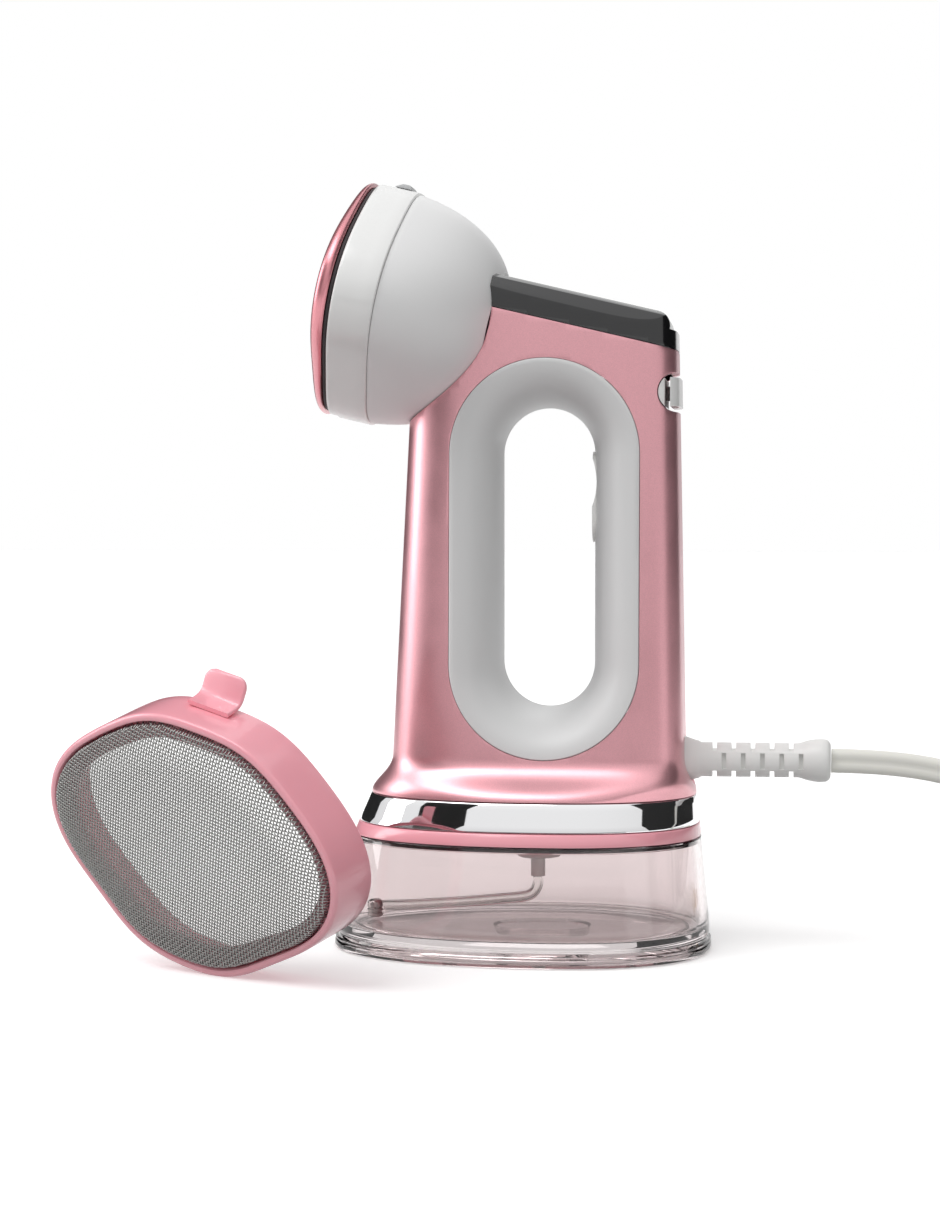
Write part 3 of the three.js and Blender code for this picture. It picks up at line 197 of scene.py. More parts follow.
sun = bpy.data.lights.new("overhead", "SUN")
sun.energy = SUN_STRENGTH
sun.angle = SUN_SPREAD
face(put("overhead", sun), (-0.5, -0.45, 1.2), (0, 0, 0))
softbox("key_left", LAMP_REACH * direction(math.radians(-88), math.radians(24)), 0.5, 0.9, 6)
softbox("key_front", (0.05, -0.75, 0.62), 0.5, 0.3, 0.9, False, (0, 0, 0.2))
softbox("fill_right", LAMP_REACH * direction(math.radians(28), math.radians(35)), 0.6, 0.6, 1.2, False)
softbox("rim_back", (0.2, 0.9, 0.9), 0.9, 0.4, 3, False)
for name, azimuth, elevation, wide, tall in (
        ("card_left", -47, 28, 0.46, 0.95), ("card_far_left", -137, 30, 0.85, 1.2),
        ("card_right", 108, 25, 1.9, 1.4)):
    card(name, direction(math.radians(azimuth), math.radians(elevation)), wide, tall, CARD_BLACK)
card("card_low", (0.06, -0.62, 0.02), 1.0, 0.17, CARD_GREY)

# ---- Mains lead ----
# A flat two-core lead in soft off-white plastic. It leaves the relief on its edge, turns
# flat where it meets the table, stands on its edge again in a coil of two layers, which a
# strap holds, and ends in a moulded plug.

MM = 0.001
LEAD_WIDTH = 0.008
LEAD_LOBE = 0.0022  # radius of each of its two cores
LEAD_ROUTE = [
    (0.1023, 0, 0.063), (0.112, 0, 0.0628), (0.122, 0, 0.0622), (0.132, 0, 0.061),
    (0.142, 0, 0.0589), (0.152, -0.0002, 0.0554), (0.162, -0.0019, 0.05), (0.172, -0.0051, 0.043),
    (0.181, -0.0087, 0.0354), (0.190, -0.0125, 0.027), (0.199, -0.0162, 0.0186), (0.208, -0.0193, 0.011),
    (0.217, -0.0213, 0.0059), (0.225, -0.0221, 0.0032), (0.235, -0.0224, 0.0029), (0.244, -0.022, 0.0036),
]
COIL_CENTRE = Vector((0.254, 0.034, 0))
COIL_OUTER = 0.055
COIL_INNER = 0.0358
COIL_TURNS = 4  # in each layer
COIL_ENTER = -90  # degrees round the coil where the lead joins it
COIL_LEAVE = 45
COIL_LOW = 0.00415
COIL_HIGH = 0.01245
PLUG_TAIL = Vector((0.237, 0.0946, 0.00765))
UP = Vector((0, 0, 1))


def ease(low, high, value):
    t = min(1, max(0, (value - low) / (high - low)))
    return t * t * (3 - 2 * t)


def turns(start, count, radius_in, radius_out, z_in, z_out, step=10):
    """Points round the coil from a start angle, in degrees."""
    points = []
    steps = round(360 * count / step)
    for i in range(steps):
        t = i / steps
        a = math.radians(start + 360 * count * t)
        r = radius_in + (radius_out - radius_in) * t
        z = z_in + (z_out - z_in) * ease(0, 1, t)
        points.append(COIL_CENTRE + Vector((r * math.cos(a), r * math.sin(a), z)))
    return points


def lead_points():
    points = [Vector(p) for p in LEAD_ROUTE]
    climb = (COIL_LEAVE - COIL_ENTER) / 360
    points += turns(COIL_ENTER, COIL_TURNS, COIL_OUTER, COIL_INNER, COIL_LOW, COIL_LOW)
    points += turns(COIL_ENTER, climb, COIL_INNER, COIL_INNER, COIL_LOW, COIL_HIGH, 9)
    points += turns(COIL_LEAVE, COIL_TURNS, COIL_INNER, COIL_OUTER, COIL_HIGH, COIL_HIGH)
    leave = math.radians(COIL_LEAVE)
    out = COIL_CENTRE + COIL_OUTER * Vector((math.cos(leave), math.sin(leave), 0))
    ahead = Vector((-math.sin(leave), math.cos(leave), 0))
    points += [out + ahead * s + COIL_HIGH * UP for s in (0, 0.0075, 0.015)]
    turn_r = 0.04
    hub = out + ahead * 0.015 - turn_r * Vector((math.cos(leave), math.sin(leave), 0))
    for degrees in (55, 65, 75, 85):
        a = math.radians(degrees)
        points.append(hub + turn_r * Vector((math.cos(a), math.sin(a), 0)) + COIL_HIGH * UP)
    last_steps = ((0.0135, 0.0004, 0.0036), (0.007, 0.0001, 0.001), (0, 0, 0))
    points += [PLUG_TAIL + Vector(step) for step in last_steps]
    return points


def through(points, step):
    """A smooth line through the points, cut into even steps."""
    fine = []
    for i in range(len(points) - 1):
        a, b = points[max(0, i - 1)], points[i]
        c, d = points[i + 1], points[min(len(points) - 1, i + 2)]
        for k in range(8):
            t = k / 8
            fine.append(0.5 * (2 * b + (c - a) * t + (2 * a - 5 * b + 4 * c - d) * t ** 2
                               + (3 * b - 3 * c + d - a) * t ** 3))
    fine.append(points[-1])
    along = [0.0]
    for a, b in zip(fine, fine[1:]):
        along.append(along[-1] + (b - a).length)
    count = max(2, round(along[-1] / step))
    even, k = [], 0
    for i in range(count + 1):
        s = along[-1] * i / count
        while k < len(along) - 2 and along[k + 1] < s:
            k += 1
        share = (s - along[k]) / max(1e-9, along[k + 1] - along[k])
        even.append(fine[k].lerp(fine[k + 1], min(1, share)))
    return even, along[-1]


def skin(name, rings, loop=False):
    """A closed skin over rings of points in metres; a ring of one point closes an end."""
    points, starts = [], []
    for ring in rings:
        starts.append(len(points))
        points.extend(ring)
    spans = list(zip(range(len(rings) - 1), range(1, len(rings))))
    if loop:
        spans.append((len(rings) - 1, 0))
    faces = []
    for a, b in spans:
        count = max(len(rings[a]), len(rings[b]))
        for i in range(count):
            j = (i + 1) % count
            if len(rings[a]) == 1:
                faces.append((starts[a], starts[b] + j, starts[b] + i))
            elif len(rings[b]) == 1:
                faces.append((starts[a] + i, starts[a] + j, starts[b]))
            else:
                faces.append((starts[a] + i, starts[a] + j, starts[b] + j, starts[b] + i))
    mesh = bpy.data.meshes.new(name)
    mesh.from_pydata(points, [], faces)
    outward(mesh)
    return put(name, mesh)


def outward(mesh):
    """Turns every face of a closed mesh to look out."""
    work = bmesh.new()
    work.from_mesh(mesh)
    bmesh.ops.remove_doubles(work, verts=work.verts, dist=1e-7)
    bmesh.ops.recalc_face_normals(work, faces=work.faces)
    work.to_mesh(mesh)
    work.free()


def settle(piece, edge=0.0, sharp=38, segments=3, limit=30):
    """Rounds a piece's edges, makes its live modifiers real and shades it smooth."""
    if edge:
        bevel = piece.modifiers.new("edges", "BEVEL")
        bevel.width = edge * MM
        bevel.segments = segments
        bevel.limit_method = "ANGLE"
        bevel.angle_limit = math.radians(limit)
    if piece.modifiers:
        view = bpy.context.evaluated_depsgraph_get()
        solid = bpy.data.meshes.new_from_object(piece.evaluated_get(view))
        piece.modifiers.clear()
        piece.data = solid
    piece.data.shade_smooth()
    piece.data.set_sharp_from_angle(angle=math.radians(sharp))
    return piece


def wear(piece, body, finish, slot, *nodes):
    """Gives a piece its finish, rides it on its body and stands it for its CAD nodes."""
    piece.data.materials.clear()
    piece.data.materials.append(finish)
    if "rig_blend" not in piece:
        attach(piece, body)
    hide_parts(*nodes)
    return piece


def finish(name, colour, roughness, **settings):
    """A plain Principled finish; settings are the shader's sockets, _ for a space."""
    material = bpy.data.materials.new(name)
    material.use_nodes = True
    shader = material.node_tree.nodes["Principled BSDF"]
    shader.inputs["Base Color"].default_value = colour
    shader.inputs["Roughness"].default_value = roughness
    for socket, value in settings.items():
        shader.inputs[socket.replace("_", " ")].default_value = value
    return material


def tune(material, socket, value):
    """Sets one more socket of a finish's shader."""
    material.node_tree.nodes["Principled BSDF"].inputs[socket].default_value = value


def painted(material, *nodes):
    """Gives CAD pieces that keep their own shape their finish."""
    for node in nodes:
        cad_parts[node].material_slots[0].material = material


def texture(material, scale, detail=3):
    """A noise over the piece's own coordinates, in bumps a metre."""
    tree = material.node_tree
    place = tree.nodes.new("ShaderNodeTexCoord")
    spots = tree.nodes.new("ShaderNodeTexNoise")
    spots.inputs["Scale"].default_value = scale
    spots.inputs["Detail"].default_value = detail
    tree.links.new(place.outputs["Object"], spots.inputs["Vector"])
    return spots.outputs["Fac"]


def vary(material, socket, source, low, high):
    """Lets a texture move one of the shader's numbers between two values."""
    tree = material.node_tree
    spread = tree.nodes.new("ShaderNodeMapRange")
    spread.inputs["From Min"].default_value = 0.3
    spread.inputs["From Max"].default_value = 0.7
    spread.inputs["To Min"].default_value = low
    spread.inputs["To Max"].default_value = high
    tree.links.new(source, spread.inputs["Value"])
    tree.links.new(spread.outputs["Result"], tree.nodes["Principled BSDF"].inputs[socket])


def emboss(material, source, strength, depth=0.0001):
    """A faint bump; depth is in metres."""
    tree = material.node_tree
    bump = tree.nodes.new("ShaderNodeBump")
    bump.inputs["Strength"].default_value = strength
    bump.inputs["Distance"].default_value = depth
    tree.links.new(source, bump.inputs["Height"])
    tree.links.new(bump.outputs["Normal"], tree.nodes["Principled BSDF"].inputs["Normal"])


def shade_between(material, source, low, high, start=0.35, stop=0.65):
    """Lets a texture move the base colour between two near shades."""
    tree = material.node_tree
    ramp = tree.nodes.new("ShaderNodeValToRGB")
    ramp.color_ramp.elements[0].position = start
    ramp.color_ramp.elements[0].color = low
    ramp.color_ramp.elements[1].position = stop
    ramp.color_ramp.elements[1].color = high
    tree.links.new(source, ramp.inputs["Fac"])
    tree.links.new(ramp.outputs["Color"], tree.nodes["Principled BSDF"].inputs["Base Color"])


def moulded(name, colour, roughness, spread=0.06, grain=1400, depth=0.00002, **settings):
    """Moulded plastic: a fine even grain, and gloss that is not quite the same all over."""
    material = finish(name, colour, roughness, **settings)
    vary(material, "Roughness", texture(material, 60), roughness - spread / 2, roughness + spread / 2)
    emboss(material, texture(material, grain), 0.25, depth)
    return material


def twin_section():
    """The lead's outline, wide by thin: two round cores with a web between them."""
    offset = LEAD_WIDTH / 2 - LEAD_LOBE
    right = []
    for k in range(9):
        a = math.radians(-116 + 232 * k / 8)
        right.append((offset + LEAD_LOBE * math.cos(a), LEAD_LOBE * math.sin(a)))
    web = LEAD_LOBE * 0.78
    left = [(-x, -y) for x, y in right]
    return right + [(0, web)] + left + [(0, -web)]


def edgeways(s):
    """How far the lead stands on its edge, by the length run: on edge, flat, on edge."""
    return 1 - ease(0.065, 0.13, s) + ease(0.158, 0.184, s)


def lead_mesh(name, path, length):
    rings = []
    section = twin_section()
    for i, p in enumerate(path):
        ahead = (path[min(i + 1, len(path) - 1)] - path[max(i - 1, 0)]).normalized()
        across = ahead.cross(UP).normalized()
        over = across.cross(ahead).normalized()
        tilt = edgeways(length * i / (len(path) - 1)) * math.pi / 2
        wide = across * math.cos(tilt) + over * math.sin(tilt)
        thin = ahead.cross(wide)
        rings.append([p + wide * x + thin * y for x, y in section])
    return skin(name, [[path[0]], *rings, [path[-1]]])


lead_vinyl = moulded("lead_vinyl", linear(238, 237, 230), 0.38, 0.1, 900, Subsurface_Weight=0.08)
tune(lead_vinyl, "Subsurface Radius", (0.002, 0.002, 0.0015))
plug_vinyl = moulded("plug_vinyl", linear(234, 233, 226), 0.45, 0.1, 1600)
strap_nylon = finish("strap_nylon", linear(38, 38, 40), 0.85, Sheen_Weight=0.4)
emboss(strap_nylon, texture(strap_nylon, 2600, 6), 0.9, 0.0003)
blade_brass = finish("blade_brass", linear(206, 178, 112), 0.3, Metallic=1.0)
vary(blade_brass, "Roughness", texture(blade_brass, 700), 0.2, 0.42)

lead_path, lead_run = through(lead_points(), 0.003)
lead = settle(lead_mesh("mains_lead", lead_path, lead_run), sharp=60)
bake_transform(lead, "housing", "tank", start=(0.108, 0, 0.063), end=(0.217, -0.002, 0.006))
wear(lead, "tank", lead_vinyl, "cord", "cord_tube", "cord_coil")


def plug_rows():
    """The plug's half width at distances from its tail, with grip ridges behind the head."""
    rows = [(0, 0), (0, 3.6), (0.4, 4.1)]
    for k in range(5):
        x = 2.4 + 2.7 * k
        rows += [(x, 4.25), (x + 0.3, 3.7), (x + 1.2, 3.7), (x + 1.5, 4.3)]
    rows += [(17, 5.3), (20, 7), (22.4, 9.4), (24.5, 10.8), (28, 11.6), (36, 11.9), (46, 12),
             (50, 11.8), (52.6, 11.3), (53.7, 10.5), (54, 9.6), (54, 0)]
    return rows


def turned_x(name, rows, origin, way=1, flat=1.0, columns=56):
    """A turned form along X: rows of (distance, radius) in mm, squashed in Z by flat."""
    rings = []
    for x, r in rows:
        if r == 0:
            rings.append([origin + Vector((way * x * MM, 0, 0))])
            continue
        ring = []
        for k in range(columns):
            a = 2 * math.pi * k / columns
            ring.append(origin + MM * Vector((way * x, r * math.cos(a), flat * r * math.sin(a))))
        rings.append(ring)
    return skin(name, rings)


plug = settle(turned_x("plug", plug_rows(), PLUG_TAIL, -1, 7.6 / 12), 0.25, limit=35)
wear(plug, "tank", plug_vinyl, "cord", "plug_body")


def strap():
    """A hook-and-loop strap over the coil, its free end folded back on top."""
    inside = COIL_CENTRE.x + 0.0326
    outside = COIL_CENTRE.x + 0.0582
    top = 0.0175
    r = 0.003
    line = [(inside, 0.0006), (inside, top - r)]
    line += [(inside + r - r * math.cos(a), top - r + r * math.sin(a))
             for a in (math.radians(d) for d in (18, 36, 54, 72, 90))]
    line += [(outside - r + r * math.sin(a), top - r + r * math.cos(a))
             for a in (math.radians(d) for d in (0, 18, 36, 54, 72, 90))]
    line += [(outside, 0.0006)]
    rings = []
    for i, (x, z) in enumerate(line):
        x0, z0 = line[max(0, i - 1)]
        x1, z1 = line[min(len(line) - 1, i + 1)]
        out = Vector((-(z1 - z0), 0, x1 - x0)).normalized() * 0.0004
        rings.append([Vector((x, COIL_CENTRE.y + w, z)) + out * s
                      for w, s in ((-0.003, -1), (0.003, -1), (0.003, 1), (-0.003, 1))])
    ends = [[sum(ring, Vector()) / 4] for ring in (rings[0], rings[-1])]
    return skin("coil_strap", [ends[0], *rings, ends[1]])


wear(settle(strap(), 0.15, limit=50), "tank", strap_nylon, "black", "coil_tie")
painted(blade_brass, "plug_blade_near", "plug_blade_far")

# ---- Strain relief ----
# A soft white sleeve moulded on the lead: a ball that snaps into the housing's wall, a
# slotted stretch that bends, and a flared end. Slots from above and below take turns with
# slots from both sides.

RELIEF_Z = 63
RELIEF_SLOT = 1.5
RELIEF_PITCH = 6.3
RELIEF_FIRST_SLOT = 63.2

# distance along X, and radius
RELIEF_ROWS = [
    (43, 0), (43, 4.6), (46.4, 4.6), (47, 6.6), (48, 7.1), (49.4, 7.6), (51.5, 8), (53, 7.9), (54.6, 7.5),
    (56.2, 6.95), (57.6, 6.5), (58.6, 6.3), (59.6, 5.7), (91.6, 5.7), (93.4, 6.25), (95, 6.7), (96.4, 6.95),
    (98.6, 7.2), (100.6, 7.0), (101.4, 6.5), (102, 5.6), (102, 4.7), (99.5, 4.5), (99.5, 0),
]


def tree_with(name, sizes):
    """A new node tree with a mesh out and one named input for each size."""
    tree = bpy.data.node_groups.new(name, "GeometryNodeTree")
    tree.interface.new_socket("Mesh", in_out="OUTPUT", socket_type="NodeSocketGeometry")
    for label, kind in sizes:
        tree.interface.new_socket(label, in_out="INPUT", socket_type=kind)
    return tree, tree.nodes.new("NodeGroupInput"), tree.nodes.new("NodeGroupOutput")


def grown(name, tree, **sizes):
    """A plain mesh piece grown by a node tree; sizes are the tree's inputs, _ for a space."""
    piece = put(name, bpy.data.meshes.new(name))
    growth = piece.modifiers.new("growth", "NODES")
    growth.node_group = tree
    sockets = {s.name: s.identifier for s in tree.interface.items_tree if s.in_out == "INPUT"}
    for label, value in sizes.items():
        growth[sockets[label.replace("_", " ")]] = value
    view = bpy.context.evaluated_depsgraph_get()
    solid = bpy.data.meshes.new_from_object(piece.evaluated_get(view))
    piece.modifiers.clear()
    piece.data = solid
    return piece


def end_tree(tree, mesh_socket, out_node, material):
    """Makes what was grown real, gives it its finish and sends it out."""
    real = tree.nodes.new("GeometryNodeRealizeInstances")
    paint = tree.nodes.new("GeometryNodeSetMaterial")
    paint.inputs["Material"].default_value = material
    tree.links.new(mesh_socket, real.inputs["Geometry"])
    tree.links.new(real.outputs["Geometry"], paint.inputs["Geometry"])
    tree.links.new(paint.outputs["Geometry"], out_node.inputs["Mesh"])


def row_of_blocks(material):
    """Blocks in a straight row: the shape of one row of slots."""
    sizes = [("Count", "NodeSocketInt"), ("First", "NodeSocketVector"),
             ("Pitch", "NodeSocketVector"), ("Block", "NodeSocketVector")]
    tree, given, out = tree_with("row_of_blocks", sizes)
    row = tree.nodes.new("GeometryNodeMeshLine")
    block = tree.nodes.new("GeometryNodeMeshCube")
    repeat = tree.nodes.new("GeometryNodeInstanceOnPoints")
    tree.links.new(given.outputs["Count"], row.inputs["Count"])
    tree.links.new(given.outputs["First"], row.inputs["Start Location"])
    tree.links.new(given.outputs["Pitch"], row.inputs["Offset"])
    tree.links.new(given.outputs["Block"], block.inputs["Size"])
    tree.links.new(row.outputs["Mesh"], repeat.inputs["Points"])
    tree.links.new(block.outputs["Mesh"], repeat.inputs["Instance"])
    end_tree(tree, repeat.outputs["Instances"], out, material)
    return tree


def carve(piece, tool, how="DIFFERENCE"):
    """Cuts a tool out of a piece, or joins or crosses them, and puts the tool away."""
    cut = piece.modifiers.new("cut", "BOOLEAN")
    cut.operation = how
    cut.solver = "EXACT"
    cut.object = tool
    view = bpy.context.evaluated_depsgraph_get()
    solid = bpy.data.meshes.new_from_object(piece.evaluated_get(view))
    piece.modifiers.clear()
    piece.data = solid
    bpy.data.objects.remove(tool)
    return piece


white_gloss = moulded("white_gloss", linear(243, 243, 242), 0.2, 0.05, 1500, 0.000012,
                      Subsurface_Weight=0.06)
white_soft = moulded("white_soft", linear(240, 240, 238), 0.36, 0.08, 1300, 0.00002,
                     Subsurface_Weight=0.08)
for paint in (white_gloss, white_soft):
    tune(paint, "Subsurface Radius", (0.003, 0.003, 0.003))

relief = turned_x("relief_sleeve", RELIEF_ROWS, Vector((0, 0, RELIEF_Z * MM)), columns=64)
slot_row = row_of_blocks(white_soft)
over_slot = (RELIEF_SLOT * MM, 0.016, 0.006)
side_slot = (RELIEF_SLOT * MM, 0.0058, 0.0052)
side_start = RELIEF_FIRST_SLOT + RELIEF_PITCH / 2
for start, aside, size in (
        (RELIEF_FIRST_SLOT, (0, 6.3), over_slot), (RELIEF_FIRST_SLOT, (0, -6.3), over_slot),
        (side_start, (-6.2, 0), side_slot), (side_start, (6.2, 0), side_slot)):
    first = ((start + RELIEF_SLOT / 2) * MM, aside[0] * MM, (RELIEF_Z + aside[1]) * MM)
    slots = grown("slots", slot_row, Count=5, First=first, Pitch=(RELIEF_PITCH * MM, 0, 0), Block=size)
    carve(relief, slots)
wear(settle(relief, 0.22, limit=40, segments=2), "housing", white_soft, "white", "strain_relief")

# ---- Water tank ----
# A clear rose-tinted cup, moulded in one, egg-shaped and longer to the front. Its foot is
# a stepped bead, a pad in the middle of its underside stands on the table, and the
# housing's base closes its top.

TURN_X = 8.9  # where every outline turns from front to rear: the handle hole's centre
BASE_ROUND = 2.3  # exponent of the egg
BASE_STATIONS = [  # height, reach to the front, reach to the rear, half the depth
    (0, 72.3, 54.4, 47), (36, 65.9, 50.9, 42.2), (38, 65.3, 50.7, 41.6), (42.2, 63.6, 50.2, 40.6),
    (52, 59.3, 49.1, 37),
]
TANK_TOP = 36
TANK_LIP = 37.7  # a thin lip stands round the seal
TANK_WALL = 2.6
TANK_FLOOR = 7.4
TANK_HOLLOW = 4.6


def power(value, exponent):
    return math.copysign(abs(value) ** exponent, value)


def base_at(z):
    """Reach to the front and rear and half depth of the base at a height."""
    k = 0
    while k < len(BASE_STATIONS) - 2 and z > BASE_STATIONS[k + 1][0]:
        k += 1
    a, b = BASE_STATIONS[k], BASE_STATIONS[k + 1]
    t = (z - a[0]) / (b[0] - a[0])
    return [a[i] + (b[i] - a[i]) * t for i in (1, 2, 3)]


def base_point(z, angle, inset=0.0, share=1.0):
    front, rear, half = base_at(z)
    c, s = math.cos(angle), math.sin(angle)
    reach = (rear if c > 0 else front) * share - inset
    return Vector((TURN_X + reach * power(c, 2 / BASE_ROUND),
                   (half * share - inset) * power(s, 2 / BASE_ROUND), z)) * MM


def even_angles(outline, count):
    """Angles that step round an outline in equal lengths; outline(angle) is a point."""
    fine = [2 * math.pi * k / 4000 for k in range(4001)]
    run = [0.0]
    for a, b in zip(fine, fine[1:]):
        run.append(run[-1] + (outline(b) - outline(a)).length)
    angles, k = [], 0
    for i in range(count):
        goal = run[-1] * i / count
        while run[k + 1] < goal:
            k += 1
        angles.append(fine[k] + (fine[k + 1] - fine[k]) * (goal - run[k]) / (run[k + 1] - run[k]))
    return angles


BASE_ANGLES = even_angles(lambda a: base_point(40, a), 180)


def base_form(name, rows, loop=False):
    """A form on the base's outline: rows of (height, inset) or (height, inset, share)."""
    rings = []
    for row in rows:
        if row[1] is None:
            rings.append([Vector((TURN_X, 0, row[0])) * MM])
        else:
            share = row[2] if len(row) > 2 else 1.0
            rings.append([base_point(row[0], a, row[1], share) for a in BASE_ANGLES])
    return skin(name, rings, loop)


def clear_plastic(name, tint, roughness, index=1.49):
    material = finish(name, tint, roughness, Transmission_Weight=1.0, IOR=index)
    emboss(material, texture(material, 45, 1), 0.05, 0.0001)
    return material


tank_rows = [
    (0, None), (0, 0, 0.24), (TANK_HOLLOW, 0, 0.26), (TANK_HOLLOW, 8), (0.2, 6.5), (0, 6.2),
    (0, 1.6), (0.35, 0.75), (1.2, 0.1), (2.2, 0), (2.6, 0.12), (2.75, 0.5), (2.95, 0.5), (3.1, 0.12),
    (3.5, 0.1), (3.8, 0.9), (4.7, 1.0), (5.3, 0.5), (5.9, 0.3), (7, 0.15), (9, 0.05), (14, 0), (25, 0),
    (TANK_LIP - 0.25, 0), (TANK_LIP, 0.25), (TANK_LIP, 1.0), (TANK_TOP, 1.05),
    (TANK_TOP, TANK_WALL), (25, TANK_WALL), (14, TANK_WALL), (TANK_FLOOR + 3, TANK_WALL),
    (TANK_FLOOR + 1.6, TANK_WALL + 0.15), (TANK_FLOOR + 0.7, TANK_WALL + 0.7),
    (TANK_FLOOR + 0.15, TANK_WALL + 1.7), (TANK_FLOOR, TANK_WALL + 3), (TANK_FLOOR, 0, 0.5),
    (TANK_FLOOR, None),
]
tank_clear = clear_plastic("tank_clear", (0.82, 0.755, 0.755, 1), 0.015)
tank = settle(base_form("water_tank", tank_rows), sharp=28)
wear(tank, "tank", tank_clear, "clear", "tank_shell")

# ---- Water pickup ----
# A white fitting under the base holds a short clear sleeve; a soft clear tube bends from
# it to the front of the tank, where a small weight with a strainer keeps its end down.

INLET_X = 5.6
BOSS_ROWS = [  # height, radius
    (29.6, 0), (29.6, 6.9), (29.9, 7.3), (30.5, 7.4), (30.9, 7.2), (31.1, 6.4), (31.6, 4.7),
    (33.3, 4.6), (33.3, 3.3), (47.2, 3.3), (50.2, 2.2), (50.2, 0),
]
DIP_ROUTE = [(5.2, 0, 22.7), (5.2, 0, 20.5), (4, 0, 17.8), (1.2, 0, 16.2), (-6.8, -1.2, 15.4),
             (-20.8, -2, 14.2), (-36.8, -1.5, 13), (-46.6, 0, 12.4), (-47, 0, 12.3)]
DIP_R = 1.75
DIP_BORE = 1.05
FILTER_X = -50
FILTER_ROWS = [
    (8.3, 0), (8.3, 1.7), (8.7, 2.3), (9.1, 2.7), (10, 2.7), (10.2, 2.35), (10.5, 2.35), (10.7, 2.7),
    (11.3, 2.7), (11.5, 2.35), (11.8, 2.35), (12, 2.7), (13.4, 2.7), (14, 2.3), (14.4, 1.7), (14.4, 0),
]


def turned_z(name, rows, x, y=0.0, columns=48):
    """A turned form that stands up: rows of (height, radius) in mm."""
    rings = []
    for z, r in rows:
        if r == 0:
            rings.append([Vector((x, y, z)) * MM])
            continue
        rings.append([Vector((x + r * math.cos(2 * math.pi * k / columns),
                              y + r * math.sin(2 * math.pi * k / columns), z)) * MM
                      for k in range(columns)])
    return skin(name, rings)


def hose(name, path, outer, bore, columns=24):
    """A soft tube with its bore, along a path in metres; sizes in mm."""
    def ring(p, ahead, r):
        side = ahead.cross(Vector((0, 1, 0))).normalized()
        over = ahead.cross(side)
        return [p + MM * r * (side * math.cos(2 * math.pi * k / columns)
                              + over * math.sin(2 * math.pi * k / columns)) for k in range(columns)]
    aheads = [(path[min(i + 1, len(path) - 1)] - path[max(i - 1, 0)]).normalized()
              for i in range(len(path))]
    outside = [ring(p, a, outer) for p, a in zip(path, aheads)]
    inside = [ring(p, a, bore) for p, a in zip(path, aheads)]
    return skin(name, outside + inside[::-1], loop=True)


hose_clear = clear_plastic("hose_clear", (0.95, 0.95, 0.94, 1), 0.12, 1.42)
strainer = finish("strainer_steel", linear(186, 184, 182), 0.35, Metallic=1.0)
vary(strainer, "Roughness", texture(strainer, 900), 0.25, 0.5)
wear(settle(turned_z("inlet_fitting", BOSS_ROWS, INLET_X), sharp=40), "housing", white_soft, "white",
     "inlet_boss")
sleeve_path = [Vector((INLET_X - 0.4, 0, z)) * MM for z in (29.3, 27, 25, 23)]
wear(settle(hose("pickup_sleeve", sleeve_path, 2.4, 1.8), sharp=40), "housing", white_soft, "grey",
     "tube_sleeve")
dip_path = through([Vector(p) * MM for p in DIP_ROUTE], 0.0012)[0]
wear(settle(hose("pickup_tube", dip_path, DIP_R, DIP_BORE), sharp=50), "housing", hose_clear,
     "clear_tube", "dip_tube")
wear(settle(turned_z("pickup_weight", FILTER_ROWS, FILTER_X), sharp=40), "housing", strainer, "steel",
     "intake_filter")

# ---- Base pan, seal and chrome band ----
# The base pan is gloss rose plastic: a plug that closes the tank, a rim that shows as a
# thin line, and a skirt up inside the chrome band. The band is plated plastic, snapped
# round the skirt. A black rubber seal lies between pan and tank.

RIM_LOW = 38
RIM_HIGH = 42.2
SKIRT_TOP = 51.7
BAND_WALL = 1.5
SKIRT_INSET = 2.1
SKIRT_WALL = 1.8
PLUG_INSET = 3.6
RELEASE_Z = (RIM_HIGH + 52) / 2
RELEASE_WIDE = 20
RELEASE_HIGH = 6.4
SCREW_ANGLES = (45, 135, 225, 315)


def block(name, x0, x1, y0, y1, z0, z1):
    """A plain block between two corners, in mm: a cutting tool or a stem."""
    low = [Vector((x, y, z0)) * MM for x, y in ((x0, y0), (x1, y0), (x1, y1), (x0, y1))]
    high = [Vector((x, y, z1)) * MM for x, y in ((x0, y0), (x1, y0), (x1, y1), (x0, y1))]
    mesh = bpy.data.meshes.new(name)
    mesh.from_pydata(low + high, [], [(3, 2, 1, 0), (4, 5, 6, 7), (0, 1, 5, 4), (1, 2, 6, 5),
                                      (2, 3, 7, 6), (3, 0, 4, 7)])
    return put(name, mesh)


def release_block(clear):
    """The tank release's outline, grown by a clearance, as a tool across the far wall."""
    w, h = RELEASE_WIDE / 2 + clear, RELEASE_HIGH / 2 + clear
    return block("release_tool", TURN_X - w, TURN_X + w, 20, 60, RELEASE_Z - h, RELEASE_Z + h)


rose_gloss = moulded("rose_gloss", linear(250, 172, 184), 0.2, 0.05, 1500, 0.00001,
                     Subsurface_Weight=0.12, Coat_Weight=0.35, Coat_Roughness=0.06)
tune(rose_gloss, "Subsurface Radius", (0.004, 0.002, 0.002))
seal_rubber = finish("seal_rubber", linear(60, 54, 56), 0.75)
emboss(seal_rubber, texture(seal_rubber, 1800), 0.4, 0.00004)
band_chrome = finish("band_chrome", (0.86, 0.86, 0.87, 1), 0.04, Metallic=1.0)
vary(band_chrome, "Roughness", texture(band_chrome, 90, 5), 0.025, 0.07)

